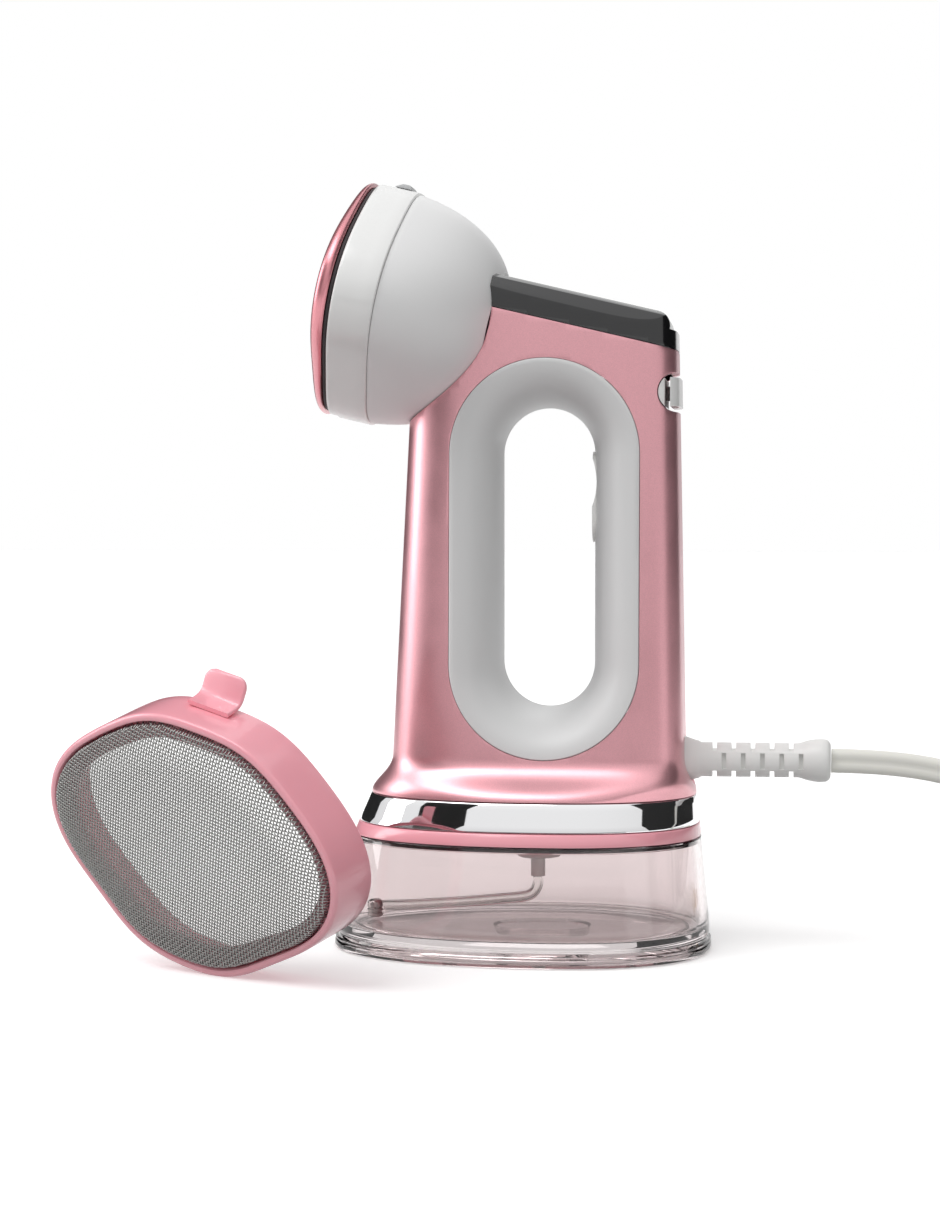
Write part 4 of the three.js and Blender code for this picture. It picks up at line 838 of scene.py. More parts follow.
pan_rows = [
    (36.0, None), (36.0, PLUG_INSET + 0.8), (36.6, PLUG_INSET), (RIM_LOW, PLUG_INSET),
    (RIM_LOW, 0.5), (RIM_LOW + 0.2, 0.12), (RIM_LOW + 0.6, 0), (RIM_HIGH - 0.3, 0), (RIM_HIGH, 0.3),
    (RIM_HIGH, SKIRT_INSET), (SKIRT_TOP, SKIRT_INSET), (SKIRT_TOP, SKIRT_INSET + SKIRT_WALL),
    (RIM_HIGH, SKIRT_INSET + SKIRT_WALL), (RIM_HIGH, None),
]
pan = base_form("base_rim", pan_rows)
for degrees in SCREW_ANGLES:
    spot = base_point(52, math.radians(degrees), 6) / MM
    rows = [(31, 0), (31, 3.2), (40, 3.2), (40, 1.9), (44, 1.9), (44, 0)]
    carve(pan, turned_z("screw_well", rows, spot.x, spot.y, 32))
carve(pan, turned_z("inlet_bore", [(30, 0), (30, 3.6), (44, 3.6), (44, 0)], INLET_X))
carve(pan, release_block(0.4))
wear(settle(pan, sharp=40), "housing", rose_gloss, "rose_gloss", "base_pan")

seal_rows = [(36.3, 1.6), (36.5, 1.4), (37.5, 1.4), (37.7, 1.6), (37.7, 3.4), (36.3, 3.4)]
seal = base_form("tank_gasket", seal_rows, loop=True)
wear(settle(seal), "housing", seal_rubber, "rubber", "tank_seal")

band_low = RIM_HIGH + 0.3
band = base_form("plated_band", [
    (band_low, 0.4), (band_low + 0.15, 0.12), (band_low + 0.5, 0), (44.5, 0), (47, 0), (49.5, 0),
    (SKIRT_TOP - 0.5, 0), (SKIRT_TOP - 0.15, 0.12), (SKIRT_TOP, 0.4), (SKIRT_TOP, BAND_WALL),
    (band_low, BAND_WALL)], loop=True)
carve(band, release_block(0.4))
wear(settle(band, sharp=45), "housing", band_chrome, "chrome", "chrome_band")

# ---- Tank release ----
# A gloss rose push piece in a window of the band, on the far side, with three finger
# ribs; its tongue pushes against a spring inside the base.

release = base_form("release_cap", [(41, None), (41, -0.6), (54, -0.6), (54, None)])
carve(release, base_form("release_core", [(40, None), (40, 2.4), (55, 2.4), (55, None)]))
carve(release, release_block(0), "INTERSECT")
for k in (-1, 0, 1):
    x = TURN_X + 4.2 * k
    carve(release, block("finger_groove", x - 0.6, x + 0.6, 40.75, 60, RELEASE_Z - 2.1, RELEASE_Z + 2.1))
stem_y = 40.6 - 5.4
stem = block("release_stem", TURN_X - 3, TURN_X + 3, stem_y, stem_y + 4, RELEASE_Z - 2, RELEASE_Z + 2)
carve(release, stem, "UNION")
wear(settle(release, 0.3, limit=45, segments=2), "release", rose_gloss, "rose_gloss", "tank_release")

# ---- Housing shells ----
# Two mirrored half shells in metallic rose paint. They form one tall post with rounded
# corners that flares to the base, with the handle hole through it, a slanted top under the
# black cover, a mouth for the steam head and a small one for the strain relief.

SHELL_WALL = 2.3
SEAM = 0.15  # each half stops this far from the middle
POST_FOOT = (65, 51.8, 45.3, 26.5)  # height, reach to the front and rear, half the depth
POST_TOP = (205, 44.7, 42.6, 22.5)
POST_ROUND_FRONT = 3.4
POST_ROUND_REAR = 5.5
HOLE_Z = 129.8
HOLE_STRAIGHT = 68.5
HOLE_R = 15.3
LINER_R = 31
BUTTON_Z = 184
SCOOP_R = 6.5
HEAD_X = -55.6
HEAD_Z = 215.4
HEAD_LEAN = math.radians(13.3)
HEAD_PLACE = Matrix.Translation(Vector((HEAD_X, 0, HEAD_Z)) * MM) @ Matrix.Rotation(HEAD_LEAN, 4, "Y")
TRIM_Z = 7.2  # the slanted top, in the head's frame


def post_at(z):
    t = (z - POST_FOOT[0]) / (POST_TOP[0] - POST_FOOT[0])
    return [POST_FOOT[i] + (POST_TOP[i] - POST_FOOT[i]) * t for i in (1, 2, 3)]


def flare_at(z):
    """0 on the post, 1 where it has opened to the base's outline."""
    if z >= POST_FOOT[0]:
        return 0
    t = min(1, (POST_FOOT[0] - z) / (POST_FOOT[0] - 52)) ** 1.3
    return t * t * (3 - 2 * t)


def post_point(z, angle, inset=0.0):
    front, rear, half = post_at(z)
    _, base_front, base_rear, base_half = BASE_STATIONS[-1]
    opened = flare_at(z)
    c, s = math.cos(angle), math.sin(angle)
    reach, wide = (rear, base_rear) if c > 0 else (front, base_front)
    reach += (wide - reach) * opened
    rounding = POST_ROUND_REAR if c > 0 else POST_ROUND_FRONT
    rounding += (BASE_ROUND - rounding) * opened
    half += (base_half - half) * opened
    return Vector((TURN_X + (reach - inset) * power(c, 2 / rounding),
                   (half - inset) * power(s, 2 / rounding), z)) * MM


POST_ANGLES = even_angles(lambda a: post_point(120, a), 220)


def post_form(name, inset=0.0, low=52, high=236, fine=3.0):
    """The plain closed post, moved in by inset, as a tool or a blank."""
    heights = [low] + [z for z in (53, 54, 55, 56, 57, 58, 59, 60, 61, 62, 63, 64, 65.5) if z > low]
    count = round((high - 68) / fine)
    heights += [68 + (high - 68) * k / count for k in range(count + 1)]
    rings = [[post_point(z, a, inset) for a in POST_ANGLES] for z in heights]
    middle = [[Vector((TURN_X, 0, z)) * MM] for z in (low, high)]
    return skin(name, [middle[0], *rings, middle[1]])


def rear_face(z):
    return TURN_X + post_at(z)[1]


def bar_y(name, x, z, r, reach=40, columns=96):
    """A round bar across the steamer, in mm: a cutting tool."""
    rings = []
    for y in (-reach, reach):
        rings.append([Vector((x + r * math.cos(2 * math.pi * k / columns), y,
                              z + r * math.sin(2 * math.pi * k / columns))) * MM for k in range(columns)])
    ends = [[Vector((x, y, z)) * MM] for y in (-reach, reach)]
    return skin(name, [ends[0], *rings, ends[1]])


def stadium(name, r, straight, x, z, reach, across="Y", columns=40):
    """A stadium prism, in mm, round ends up and down: a tool through Y or X."""
    edge = []
    for lift, start in ((straight / 2, 0), (-straight / 2, 180)):
        for k in range(columns + 1):
            a = math.radians(start + 180 * k / columns)
            edge.append((r * math.cos(a), lift + r * math.sin(a)))
    near, far = reach
    if across == "Y":
        rings = [[Vector((x + u, d, z + v)) * MM for u, v in edge] for d in (near, far)]
        ends = [[Vector((x, d, z)) * MM] for d in (near, far)]
    else:
        rings = [[Vector((d, x + u, z + v)) * MM for u, v in edge] for d in (near, far)]
        ends = [[Vector((d, x, z)) * MM] for d in (near, far)]
    return skin(name, [ends[0], *rings, ends[1]])


HEAD_MEAN = 44.45  # the outline: a mean radius and five cosine waves, sized by a fit
HEAD_LIFT = 0.77
HEAD_OVAL = 6.41
HEAD_SHIELD = 0.84
HEAD_SQUARE = 2.08
HEAD_FLATS = 0.95
HEAD_WAVES = ((0, HEAD_MEAN), (1, HEAD_LIFT), (2, -HEAD_OVAL), (3, -HEAD_SHIELD),
              (4, HEAD_SQUARE), (6, -HEAD_FLATS))  # waves in a turn, and size


def head_radius(angle):
    """The head's outline, from its axis, at an angle from straight up, in mm."""
    return sum(amount * math.cos(waves * angle) for waves, amount in HEAD_WAVES)


def head_edge(angle):
    r = head_radius(angle)
    return Vector((0, r * math.sin(angle), r * math.cos(angle)))


HEAD_ANGLES = even_angles(head_edge, 168)


def head_form(name, rows, loop=False):
    """A form on the head's outline: rows of (x, inset) or (x, inset, share), in its own frame."""
    rings = []
    for row in rows:
        if row[1] is None:
            rings.append([HEAD_PLACE @ Vector((row[0] * MM, 0, 0))])
            continue
        share = row[2] if len(row) > 2 else 1.0
        radii = [head_radius(a) * share - row[1] for a in HEAD_ANGLES]
        rings.append([HEAD_PLACE @ (MM * Vector((row[0], r * math.sin(a), r * math.cos(a))))
                      for r, a in zip(radii, HEAD_ANGLES)])
    return skin(name, rings, loop)


DOME_REACH = 51
DOME_START = 14.2
DOME_END = 47
HEAD_CLEARANCE = 0.6


def dome_ring(x, inset):
    """One ring of the dome, which narrows a little faster across than up and down."""
    t = max(0.0, x) / DOME_REACH
    across = (1 - t ** 2.2) ** (1 / 2.2)
    up = (1 - t ** 2.5) ** (1 / 2.5)
    ring = []
    for a in HEAD_ANGLES:
        r = head_radius(a) - inset
        ring.append(HEAD_PLACE @ (MM * Vector((x, r * across * math.sin(a), r * up * math.cos(a)))))
    return ring


def dome_stations(count=26):
    deep = DOME_END - DOME_START
    return [DOME_START + deep * math.sin(math.pi / 2 * k / count) for k in range(count + 1)]


def head_room():
    """The head as one plain solid, swollen by its clearance: a cutting tool."""
    rings = [dome_ring(x, -HEAD_CLEARANCE) for x in (-10, 0, *dome_stations(20), DOME_END + 3)]
    ends = [[HEAD_PLACE @ Vector((x * MM, 0, 0))] for x in (-10, DOME_END + 3)]
    return skin("head_room", [ends[0], *rings, ends[1]])


def tilted_block(name, x0, x1, y0, y1, z0, z1):
    """A block in the head's tilted frame."""
    tool = block(name, x0, x1, y0, y1, z0, z1)
    tool.data.transform(HEAD_PLACE)
    return tool


def pearl_paint(name, colour):
    """Metallic paint with fine flakes under a soft clear coat."""
    material = finish(name, colour, 0.34, Metallic=0.82, Coat_Weight=0.25, Coat_Roughness=0.22)
    tree = material.node_tree
    place = tree.nodes.new("ShaderNodeTexCoord")
    flakes = tree.nodes.new("ShaderNodeTexVoronoi")
    flakes.inputs["Scale"].default_value = 5200
    tree.links.new(place.outputs["Object"], flakes.inputs["Vector"])
    low = [c * 0.93 for c in colour[:3]] + [1]
    high = [min(1, c * 1.06) for c in colour[:3]] + [1]
    shade_between(material, flakes.outputs["Color"], low, high, 0.1, 0.9)
    vary(material, "Roughness", texture(material, 70, 2), 0.31, 0.37)
    return material


rose_pearl = pearl_paint("rose_pearl", linear(233, 172, 180))

shell = post_form("housing_near")
carve(shell, post_form("hollow", SHELL_WALL, 50, 240, 12))
carve(shell, stadium("hole", LINER_R + 0.14, HOLE_STRAIGHT, TURN_X, HOLE_Z, (-45, 45)))
carve(shell, head_room())
carve(shell, tilted_block("slant", -60, 200, -60, 60, TRIM_Z, TRIM_Z + 120))
carve(shell, bar_y("scoop", rear_face(BUTTON_Z), BUTTON_Z, SCOOP_R))
mouth_rows = [(30, 0), (30, 8.3), (70, 8.3), (70, 0)]
carve(shell, turned_x("relief_mouth", mouth_rows, Vector((0, 0, RELIEF_Z * MM))))
carve(shell, block("far_half", -120, 120, -SEAM, 80, -10, 300))
far_shell = put("housing_far", shell.data.copy())
far_shell.data.transform(Matrix.Scale(-1, 4, (0, 1, 0)))
far_shell.data.flip_normals()
wear(settle(shell, 0.3, limit=45, segments=2), "housing", rose_pearl, "rose_metal", "body_shell_near")
wear(settle(far_shell, 0.3, limit=45, segments=2), "housing", rose_pearl, "rose_metal", "body_shell_far")

# ---- Grip liners ----
# Two satin grey-white funnels, one from each side, line the handle hole. Each swells from
# its rim on the side face to a smooth throat for the hand, and they meet in the middle.

LINER_PROUD = 0.4
LINER_WALL = 2.2
TRIGGER_Z = 150
TRIGGER_WIDE = 15
TRIGGER_LONG = 30


def side_face(x, z):
    """Half the post's depth at a place on its side."""
    front, rear, half = post_at(z)
    t = min(0.98, abs(x - TURN_X) / (rear if x > TURN_X else front))
    rounding = POST_ROUND_REAR if x > TURN_X else POST_ROUND_FRONT
    return half * (1 - t ** rounding) ** (1 / rounding)


def liner_stations():
    """Angle and lift of each column round the stadium."""
    stations = [(180 * k / 48, HOLE_STRAIGHT / 2) for k in range(49)]
    stations += [(180, HOLE_STRAIGHT / 2 - HOLE_STRAIGHT * k / 24) for k in range(1, 24)]
    stations += [(180 + 180 * k / 48, -HOLE_STRAIGHT / 2) for k in range(49)]
    stations += [(360, -HOLE_STRAIGHT / 2 + HOLE_STRAIGHT * k / 24) for k in range(1, 24)]
    return stations


def liner(name, side):
    swell = LINER_R - HOLE_R
    shrink = LINER_WALL / swell
    arc = [math.pi / 2 * k / 16 for k in range(17)]
    outer = [(LINER_R - swell * math.cos(a), math.sin(a)) for a in arc]
    outer[-1] = (LINER_R - 0.35, 1)
    rim = [(LINER_R - 0.1, 0.993), (LINER_R, 0.975)]
    inner = [(LINER_R - swell * (1 - shrink) * math.cos(a), math.sin(a) * 0.9) for a in arc[::-1]]
    rings = []
    for r, share in outer + rim + inner:
        ring = []
        for degrees, lift in liner_stations():
            a = math.radians(degrees)
            x = TURN_X + r * math.cos(a)
            z = HOLE_Z + lift + r * math.sin(a)
            deep = side_face(x, z) + LINER_PROUD - SEAM
            ring.append(MM * Vector((x, side * (SEAM + share * deep), z)))
        rings.append(ring)
    return skin(name, rings, loop=True)


liner_satin = moulded("liner_satin", linear(222, 222, 222), 0.42, 0.06, 1100, 0.00003,
                      Subsurface_Weight=0.05)
tune(liner_satin, "Subsurface Radius", (0.003, 0.003, 0.003))
for name, side, node in (("grip_near", -1, "grip_liner_near"), ("grip_far", 1, "grip_liner_far")):
    grip = liner(name, side)
    window = stadium("trigger_window", TRIGGER_WIDE / 2 + 0.4, TRIGGER_LONG - TRIGGER_WIDE, 0, TRIGGER_Z,
                     (20.2, 32.2), "X")
    carve(grip, window)
    wear(settle(grip, 0.15, limit=50, segments=2), "housing", liner_satin, "white_satin", node)

# ---- Steam trigger ----
# A white push piece in the rear side of the handle hole, with a shallow dip for the
# fingertip; a stem behind it presses a spring and the pump's switch.

TRIGGER_FACE = TURN_X + HOLE_R - 0.7
TRIGGER_BACK = TRIGGER_FACE + 5.4
FINGER_DIP_R = 22
FINGER_DIP_DEEP = 1.5
FINGER_DIP_Z = 154.8

trigger = stadium("trigger", TRIGGER_WIDE / 2, TRIGGER_LONG - TRIGGER_WIDE, 0, TRIGGER_Z,
                  (TRIGGER_FACE, TRIGGER_BACK), "X", 32)
dip_x = TRIGGER_FACE - FINGER_DIP_R + FINGER_DIP_DEEP
carve(trigger, bar_y("finger_dip", dip_x, FINGER_DIP_Z, FINGER_DIP_R, columns=240))
stem = block("trigger_stem", TRIGGER_BACK - 1, TRIGGER_BACK + 4, -3, 3, TRIGGER_Z - 4, TRIGGER_Z + 4)
carve(trigger, stem, "UNION")
wear(settle(trigger, 0.5, limit=40), "trigger", white_soft, "white", "steam_trigger")

# ---- Rear button ----
# A white key in a scooped notch across the rear edge, inside a pale crescent bezel. A
# round stem reaches forward to the power switch.

BUTTON_HIGH = 9.4
BUTTON_DEEP = 2.4
BUTTON_TRAVEL = 1.5

edge_x = rear_face(BUTTON_Z)
bezel = bar_y("button_bezel", edge_x, BUTTON_Z, SCOOP_R - 0.3)
carve(bezel, post_form("bezel_limit", 0.3, 150, 215, 4), "INTERSECT")
back_x = edge_x - BUTTON_DEEP - BUTTON_TRAVEL - 0.3
carve(bezel, block("bezel_pocket", back_x, edge_x + 5, -40, 40, BUTTON_Z - 8, BUTTON_Z + 8))
stem_rows = [(30, 0), (30, 2.8), (60, 2.8), (60, 0)]
carve(bezel, turned_x("stem_hole", stem_rows, Vector((0, 0, BUTTON_Z * MM)), columns=32))
carve(bezel, post_form("bezel_inside", SHELL_WALL + 3, 150, 215, 4))
wear(settle(bezel, 0.15, limit=50, segments=2), "housing", white_soft, "white", "rear_bezel")

button = bar_y("power_key", edge_x, BUTTON_Z, SCOOP_R - 0.8)
carve(button, post_form("key_limit", -0.8, 150, 215, 3), "INTERSECT")
carve(button, block("key_slab", edge_x - BUTTON_DEEP, edge_x + 8, -40, 40,
                    BUTTON_Z - BUTTON_HIGH / 2, BUTTON_Z + BUTTON_HIGH / 2), "INTERSECT")
stem_tip = edge_x - BUTTON_DEEP - 5
stem_rows = [(stem_tip, 0), (stem_tip, 2.4), (edge_x - 1.8, 2.4), (edge_x - 1.8, 0)]
carve(button, turned_x("key_stem", stem_rows, Vector((0, 0, BUTTON_Z * MM)), columns=32), "UNION")
wear(settle(button, 0.3, limit=45, segments=2), "power_button", white_gloss, "white", "rear_button")

# ---- Top cover ----
# A gloss black strip clipped over the slanted top, with a flat ridge, chamfered sides and
# a rounded rear end.

COVER_LOW = TRIM_Z + 0.3
COVER_TOP = COVER_LOW + 10.8
COVER_CHAMFER = 5.2
COVER_END_R = 5
COVER_HALF = 23.5


def prism(name, outline, start, end, axis):
    """An outline of (u, v) points in mm pushed along X or Y of the head's frame."""
    if axis == "X":
        rings = [[Vector((d, u, v)) for u, v in outline] for d in (start, end)]
        middle = [Vector((d, 0, sum(v for u, v in outline) / len(outline))) for d in (start, end)]
    else:
        rings = [[Vector((u, d, v)) for u, v in outline] for d in (start, end)]
        centre = (sum(u for u, v in outline) / len(outline), sum(v for u, v in outline) / len(outline))
        middle = [Vector((centre[0], d, centre[1])) for d in (start, end)]
    rings = [[HEAD_PLACE @ (p * MM) for p in ring] for ring in rings]
    return skin(name, [[HEAD_PLACE @ (middle[0] * MM)], *rings, [HEAD_PLACE @ (middle[1] * MM)]])


def cover_section():
    shoulder = COVER_TOP - COVER_CHAMFER
    half = [(COVER_HALF + 4, TRIM_Z - 4), (COVER_HALF + 4, shoulder), (COVER_HALF - 1, shoulder),
            (COVER_HALF - 4.6, COVER_TOP - 1.1), (COVER_HALF - 7.6, COVER_TOP)]
    return half + [(-u, v) for u, v in half[::-1]]


def cover_side():
    end = rear_face(205) - HEAD_X
    r = COVER_END_R
    rear = [(0, -40), (end + 12, -40), (end + 12, COVER_TOP - r), (end - 2.5, COVER_TOP - r)]
    for k in range(1, 9):
        a = math.pi / 2 * k / 8
        rear.append((end - 2.5 - r + r * math.cos(a), COVER_TOP - r + r * math.sin(a)))
    return rear + [(end - 3 - r, COVER_TOP + 4), (0, COVER_TOP + 4)]


piano_black = moulded("piano_black", linear(22, 22, 24), 0.16, 0.03, 1600, 0.000004,
                      Coat_Weight=0.7, Coat_Roughness=0.05)

cover = post_form("black_cover", 0, 150, 236, 3)
carve(cover, tilted_block("cover_slab", -60, 200, -60, 60, COVER_LOW, COVER_LOW + 19.8), "INTERSECT")
carve(cover, prism("cover_ridge", cover_section(), 0, 160, "X"), "INTERSECT")
carve(cover, prism("cover_end", cover_side(), -45, 45, "Y"), "INTERSECT")
hollow = post_form("cover_hollow", SHELL_WALL, 150, 236, 4)
room = tilted_block("cover_room", -60, 200, -60, 60, TRIM_Z - 1, COVER_TOP - COVER_CHAMFER)
carve(hollow, room, "INTERSECT")
carve(cover, hollow)
carve(cover, head_room())
wear(settle(cover, 0.35, limit=25), "housing", piano_black, "black", "top_cover")

# ---- Steam head ----
# From the front: a crowned aluminium steam plate with a rose metallic coat and its steam
# holes, a black gasket, a gloss white collar with a latch for the guard, and a satin
# white dome that narrows into the housing.

COLLAR_DEEP = 14.1
COLLAR_WALL = 2.3
PLATE_BACK = -1
PLATE_RIM = 3.1  # how far the rolled rim stands out
PLATE_CROWN = 1.0
STEAM_HOLE_R = 1.3
STEAM_ROWS = ((24, 5, 11), (13, 3, 26), (-22, 4, 12))  # height, count and pitch of each row

dome_satin = moulded("dome_satin", linear(240, 240, 240), 0.44, 0.06, 1200, 0.00003,
                     Subsurface_Weight=0.06)
tune(dome_satin, "Subsurface Radius", (0.003, 0.003, 0.003))
stations = dome_stations()
rings = [dome_ring(DOME_START, 0.45), dome_ring(DOME_START + 0.18, 0.12)]
rings += [dome_ring(max(x, DOME_START + 0.5), 0) for x in stations]
rings += [dome_ring(x, COLLAR_WALL) for x in stations[::-3]]
rings += [dome_ring(DOME_START, COLLAR_WALL)]
dome = settle(skin("dome", rings, loop=True), sharp=40)
wear(dome, "housing", dome_satin, "white_satin", "head_dome")

collar_rows = [
    (0.6, 1.0), (0.68, 0.55), (0.9, 0.22), (1.3, 0.05), (1.8, 0), (6, 0), (10, 0), (COLLAR_DEEP - 0.5, 0),
    (COLLAR_DEEP - 0.18, 0.12), (COLLAR_DEEP, 0.45), (COLLAR_DEEP, COLLAR_WALL), (0.6, COLLAR_WALL),
]
collar = head_form("collar", collar_rows, loop=True)
carve(collar, tilted_block("catch_slot", 0.2, 3.6, -9, 9, -45.2, -36.6))
wear(settle(collar, sharp=40), "housing", white_gloss, "white", "head_collar")


def catch():
    """A wedge-shaped latch that the guard's tab clips over."""
    top = head_radius(0)
    outline = [(4.4, top + 0.3), (10.4, top + 0.3), (10.2, top + 1.1), (9.6, top + 1.7), (7.2, top + 1.7),
               (6.0, top + 1.2)]
    return prism("latch", outline, -6, 6, "Y")


latch_grey = moulded("latch_grey", linear(196, 197, 198), 0.4, 0.08, 1400)
wear(settle(catch(), 0.35, limit=40), "housing", latch_grey, "grey", "guard_catch")

gasket = head_form("plate_gasket", [(-0.7, 1.5), (-0.5, 1.3), (0.1, 1.3), (0.3, 1.5), (0.3, 7), (-0.7, 7)],
                   loop=True)
wear(settle(gasket), "housing", seal_rubber, "rubber", "head_gasket")

plate_rows = [(PLATE_BACK, None), (PLATE_BACK, 0, 0.5), (PLATE_BACK, 1.0)]
for degrees in range(-30, 91, 10):  # the rolled rim
    a = math.radians(degrees)
    plate_rows.append((PLATE_BACK - 1.25 - PLATE_RIM * math.sin(a) * (0.5 if a < 0 else 1),
                       0.2 + 2.6 * (1 - math.cos(a))))
rim_x, rim_inset = plate_rows[-1]
for k in range(1, 12):
    t = k / 12
    plate_rows.append((rim_x - PLATE_CROWN * math.sin(math.pi / 2 * t), rim_inset * (1 - t), 1 - t * 0.97))
plate_rows.append((rim_x - PLATE_CROWN, None))
plate = head_form("steam_plate", plate_rows)


def steam_drills(material):
    """Round drills in a row, each lying along the head's axis."""
    sizes = [("Count", "NodeSocketInt"), ("First", "NodeSocketVector"), ("Pitch", "NodeSocketVector"),
             ("Radius", "NodeSocketFloat"), ("Depth", "NodeSocketFloat")]
    tree, given, out = tree_with("steam_drills", sizes)
    row = tree.nodes.new("GeometryNodeMeshLine")
    drill = tree.nodes.new("GeometryNodeMeshCylinder")
    drill.inputs["Vertices"].default_value = 24
    turn = tree.nodes.new("GeometryNodeTransform")
    turn.inputs["Rotation"].default_value = (0, math.pi / 2, 0)
    repeat = tree.nodes.new("GeometryNodeInstanceOnPoints")
    for socket, target in (("Count", row.inputs["Count"]), ("First", row.inputs["Start Location"]),
                           ("Pitch", row.inputs["Offset"]), ("Radius", drill.inputs["Radius"]),
                           ("Depth", drill.inputs["Depth"])):
        tree.links.new(given.outputs[socket], target)
    tree.links.new(drill.outputs["Mesh"], turn.inputs["Geometry"])
    tree.links.new(row.outputs["Mesh"], repeat.inputs["Points"])
    tree.links.new(turn.outputs["Geometry"], repeat.inputs["Instance"])
    end_tree(tree, repeat.outputs["Instances"], out, material)
    return tree


plate_rose = pearl_paint("plate_rose", linear(214, 140, 148))
tune(plate_rose, "Coat Weight", 0.5)
drills = steam_drills(plate_rose)
for height, count, pitch in STEAM_ROWS:
    first = (-0.004, -pitch * (count - 1) / 2 * MM, height * MM)
    holes = grown("drills", drills, Count=count, First=first, Pitch=(0, pitch * MM, 0),
                  Radius=STEAM_HOLE_R * MM, Depth=0.02)
    holes.data.transform(HEAD_PLACE)
    carve(plate, holes)
plate.data.transform(HEAD_PLACE.inverted())
for corner in plate.data.vertices:  # the face is arched from top to bottom
    arch = 0.5 * min(1, abs(corner.co.z) / (39 * MM)) ** 2
    corner.co.x = PLATE_BACK * MM + (corner.co.x - PLATE_BACK * MM) * (1 - arch)
plate.data.transform(HEAD_PLACE)
wear(settle(plate, 0.12, limit=50, segments=2), "housing", plate_rose, "rose_plate", "soleplate")

# ---- Works inside ----
# The cast heater with its cover, thermostat and fuse, the vibration pump with its copper
# coil and two hoses, the board, the switches, the cord clamp, the inner leads, the release's
# seat and the screws. They keep their CAD shapes, and each gets the finish of its own stuff.

cast_aluminium = finish("cast_aluminium", linear(196, 197, 199), 0.5, Metallic=1.0)
vary(cast_aluminium, "Roughness", texture(cast_aluminium, 500, 6), 0.4, 0.65)
emboss(cast_aluminium, texture(cast_aluminium, 800, 6), 0.6, 0.0001)
sheet_steel = finish("sheet_steel", linear(188, 188, 190), 0.32, Metallic=1.0)
vary(sheet_steel, "Roughness", texture(sheet_steel, 350, 5), 0.24, 0.4)
copper_wire = finish("copper_wire", linear(186, 106, 62), 0.3, Metallic=1.0)
winding = copper_wire.node_tree.nodes.new("ShaderNodeTexWave")
winding.bands_direction = "Z"
winding.inputs["Scale"].default_value = 420
winding_place = copper_wire.node_tree.nodes.new("ShaderNodeTexCoord")
copper_wire.node_tree.links.new(winding_place.outputs["Object"], winding.inputs["Vector"])
emboss(copper_wire, winding.outputs["Fac"], 0.8, 0.0002)
board_green = finish("board_green", linear(45, 107, 69), 0.42)
shade_between(board_green, texture(board_green, 260, 0), linear(38, 92, 58), linear(58, 122, 80), 0.48, 0.52)
works_grey = moulded("works_grey", linear(138, 140, 142), 0.5, 0.1, 1200)
works_black = moulded("works_black", linear(36, 36, 38), 0.45, 0.1, 1200)
lead_white = moulded("lead_white", linear(232, 232, 230), 0.4, 0.1, 900)
painted(cast_aluminium, "heater_block")
painted(sheet_steel, "heater_cover", "thermostat", *[f"heater_screw_{k}" for k in range(1, 5)],
        *[f"base_screw_{k}" for k in range(1, 5)])
painted(blade_brass, "thermal_fuse")
painted(copper_wire, "pump_coil")
painted(works_grey, "pump_body", "cord_clamp", "release_seat")
painted(hose_clear, "inlet_hose", "pump_hose")
painted(board_green, "circuit_board")
painted(works_black, "trigger_switch", "power_switch", "lead_line")
painted(lead_white, "lead_neutral")

# ---- Return springs ----
# Three small coil springs of steel wire push the trigger, the rear key and the tank
# release back out. Each is held at its far end; they ride on the housing at their rest length.

SPRING_WIRE = 0.3


def coil_spring(name, node, axis, turns_round):
    low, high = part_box(node)
    wire = SPRING_WIRE * MM
    one, two = [i for i in range(3) if i != axis]
    along = Vector([1 if i == axis else 0 for i in range(3)])
    r = (high[one] - low[one]) / 2 - wire
    middle = (low + high) / 2
    steps = turns_round * 24
    rings = []
    for k in range(steps + 1):
        a = 2 * math.pi * turns_round * k / steps
        out = Vector()
        out[one], out[two] = math.cos(a), math.sin(a)
        p = middle + r * out
        p[axis] = low[axis] + wire + (high[axis] - low[axis] - 2 * wire) * k / steps
        rings.append([p + wire * (out * math.cos(b) + along * math.sin(b))
                      for b in (2 * math.pi * n / 10 for n in range(10))])
    return skin(name, [[sum(rings[0], Vector()) / 10], *rings, [sum(rings[-1], Vector()) / 10]])


for name, node, axis, held, joint, turns_round in (
        ("trigger_coil", "trigger_spring", 0, 1, "trigger_pull", 5),
        ("key_coil", "rear_button_spring", 0, 0, "button_press", 4),
        ("release_coil", "release_spring", 1, 0, "release_press", 5)):
    wear(settle(coil_spring(name, node, axis, turns_round)), "housing", sheet_steel, "steel", node)
    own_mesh(bpy.data.objects[name])

# ---- Fabric guard ----
# A gloss rose frame that clips over the head, with a woven steel mesh stretched over its
# front. The mesh is flat in the middle and slopes back to the frame; a ring inside holds
# its edge, and a springy tab at the top lifts off the head's latch.

GUARD_DEEP = 18
GUARD_INSIDE = 0.8
GUARD_OUTSIDE = 2.8
GUARD_YAW = math.radians(-27.2)
GUARD_PITCH = math.radians(13.2)
GUARD_ROLL = math.radians(15)
GUARD_TURN = (Matrix.Rotation(GUARD_YAW, 4, "Z") @ Matrix.Rotation(GUARD_PITCH, 4, "X")
              @ Matrix.Rotation(GUARD_ROLL, 4, "Y"))
GUARD_SPOT = (-97.4, -75.2, 40.977)
GUARD_PLACE = Matrix.Translation(Vector(GUARD_SPOT) * MM) @ GUARD_TURN


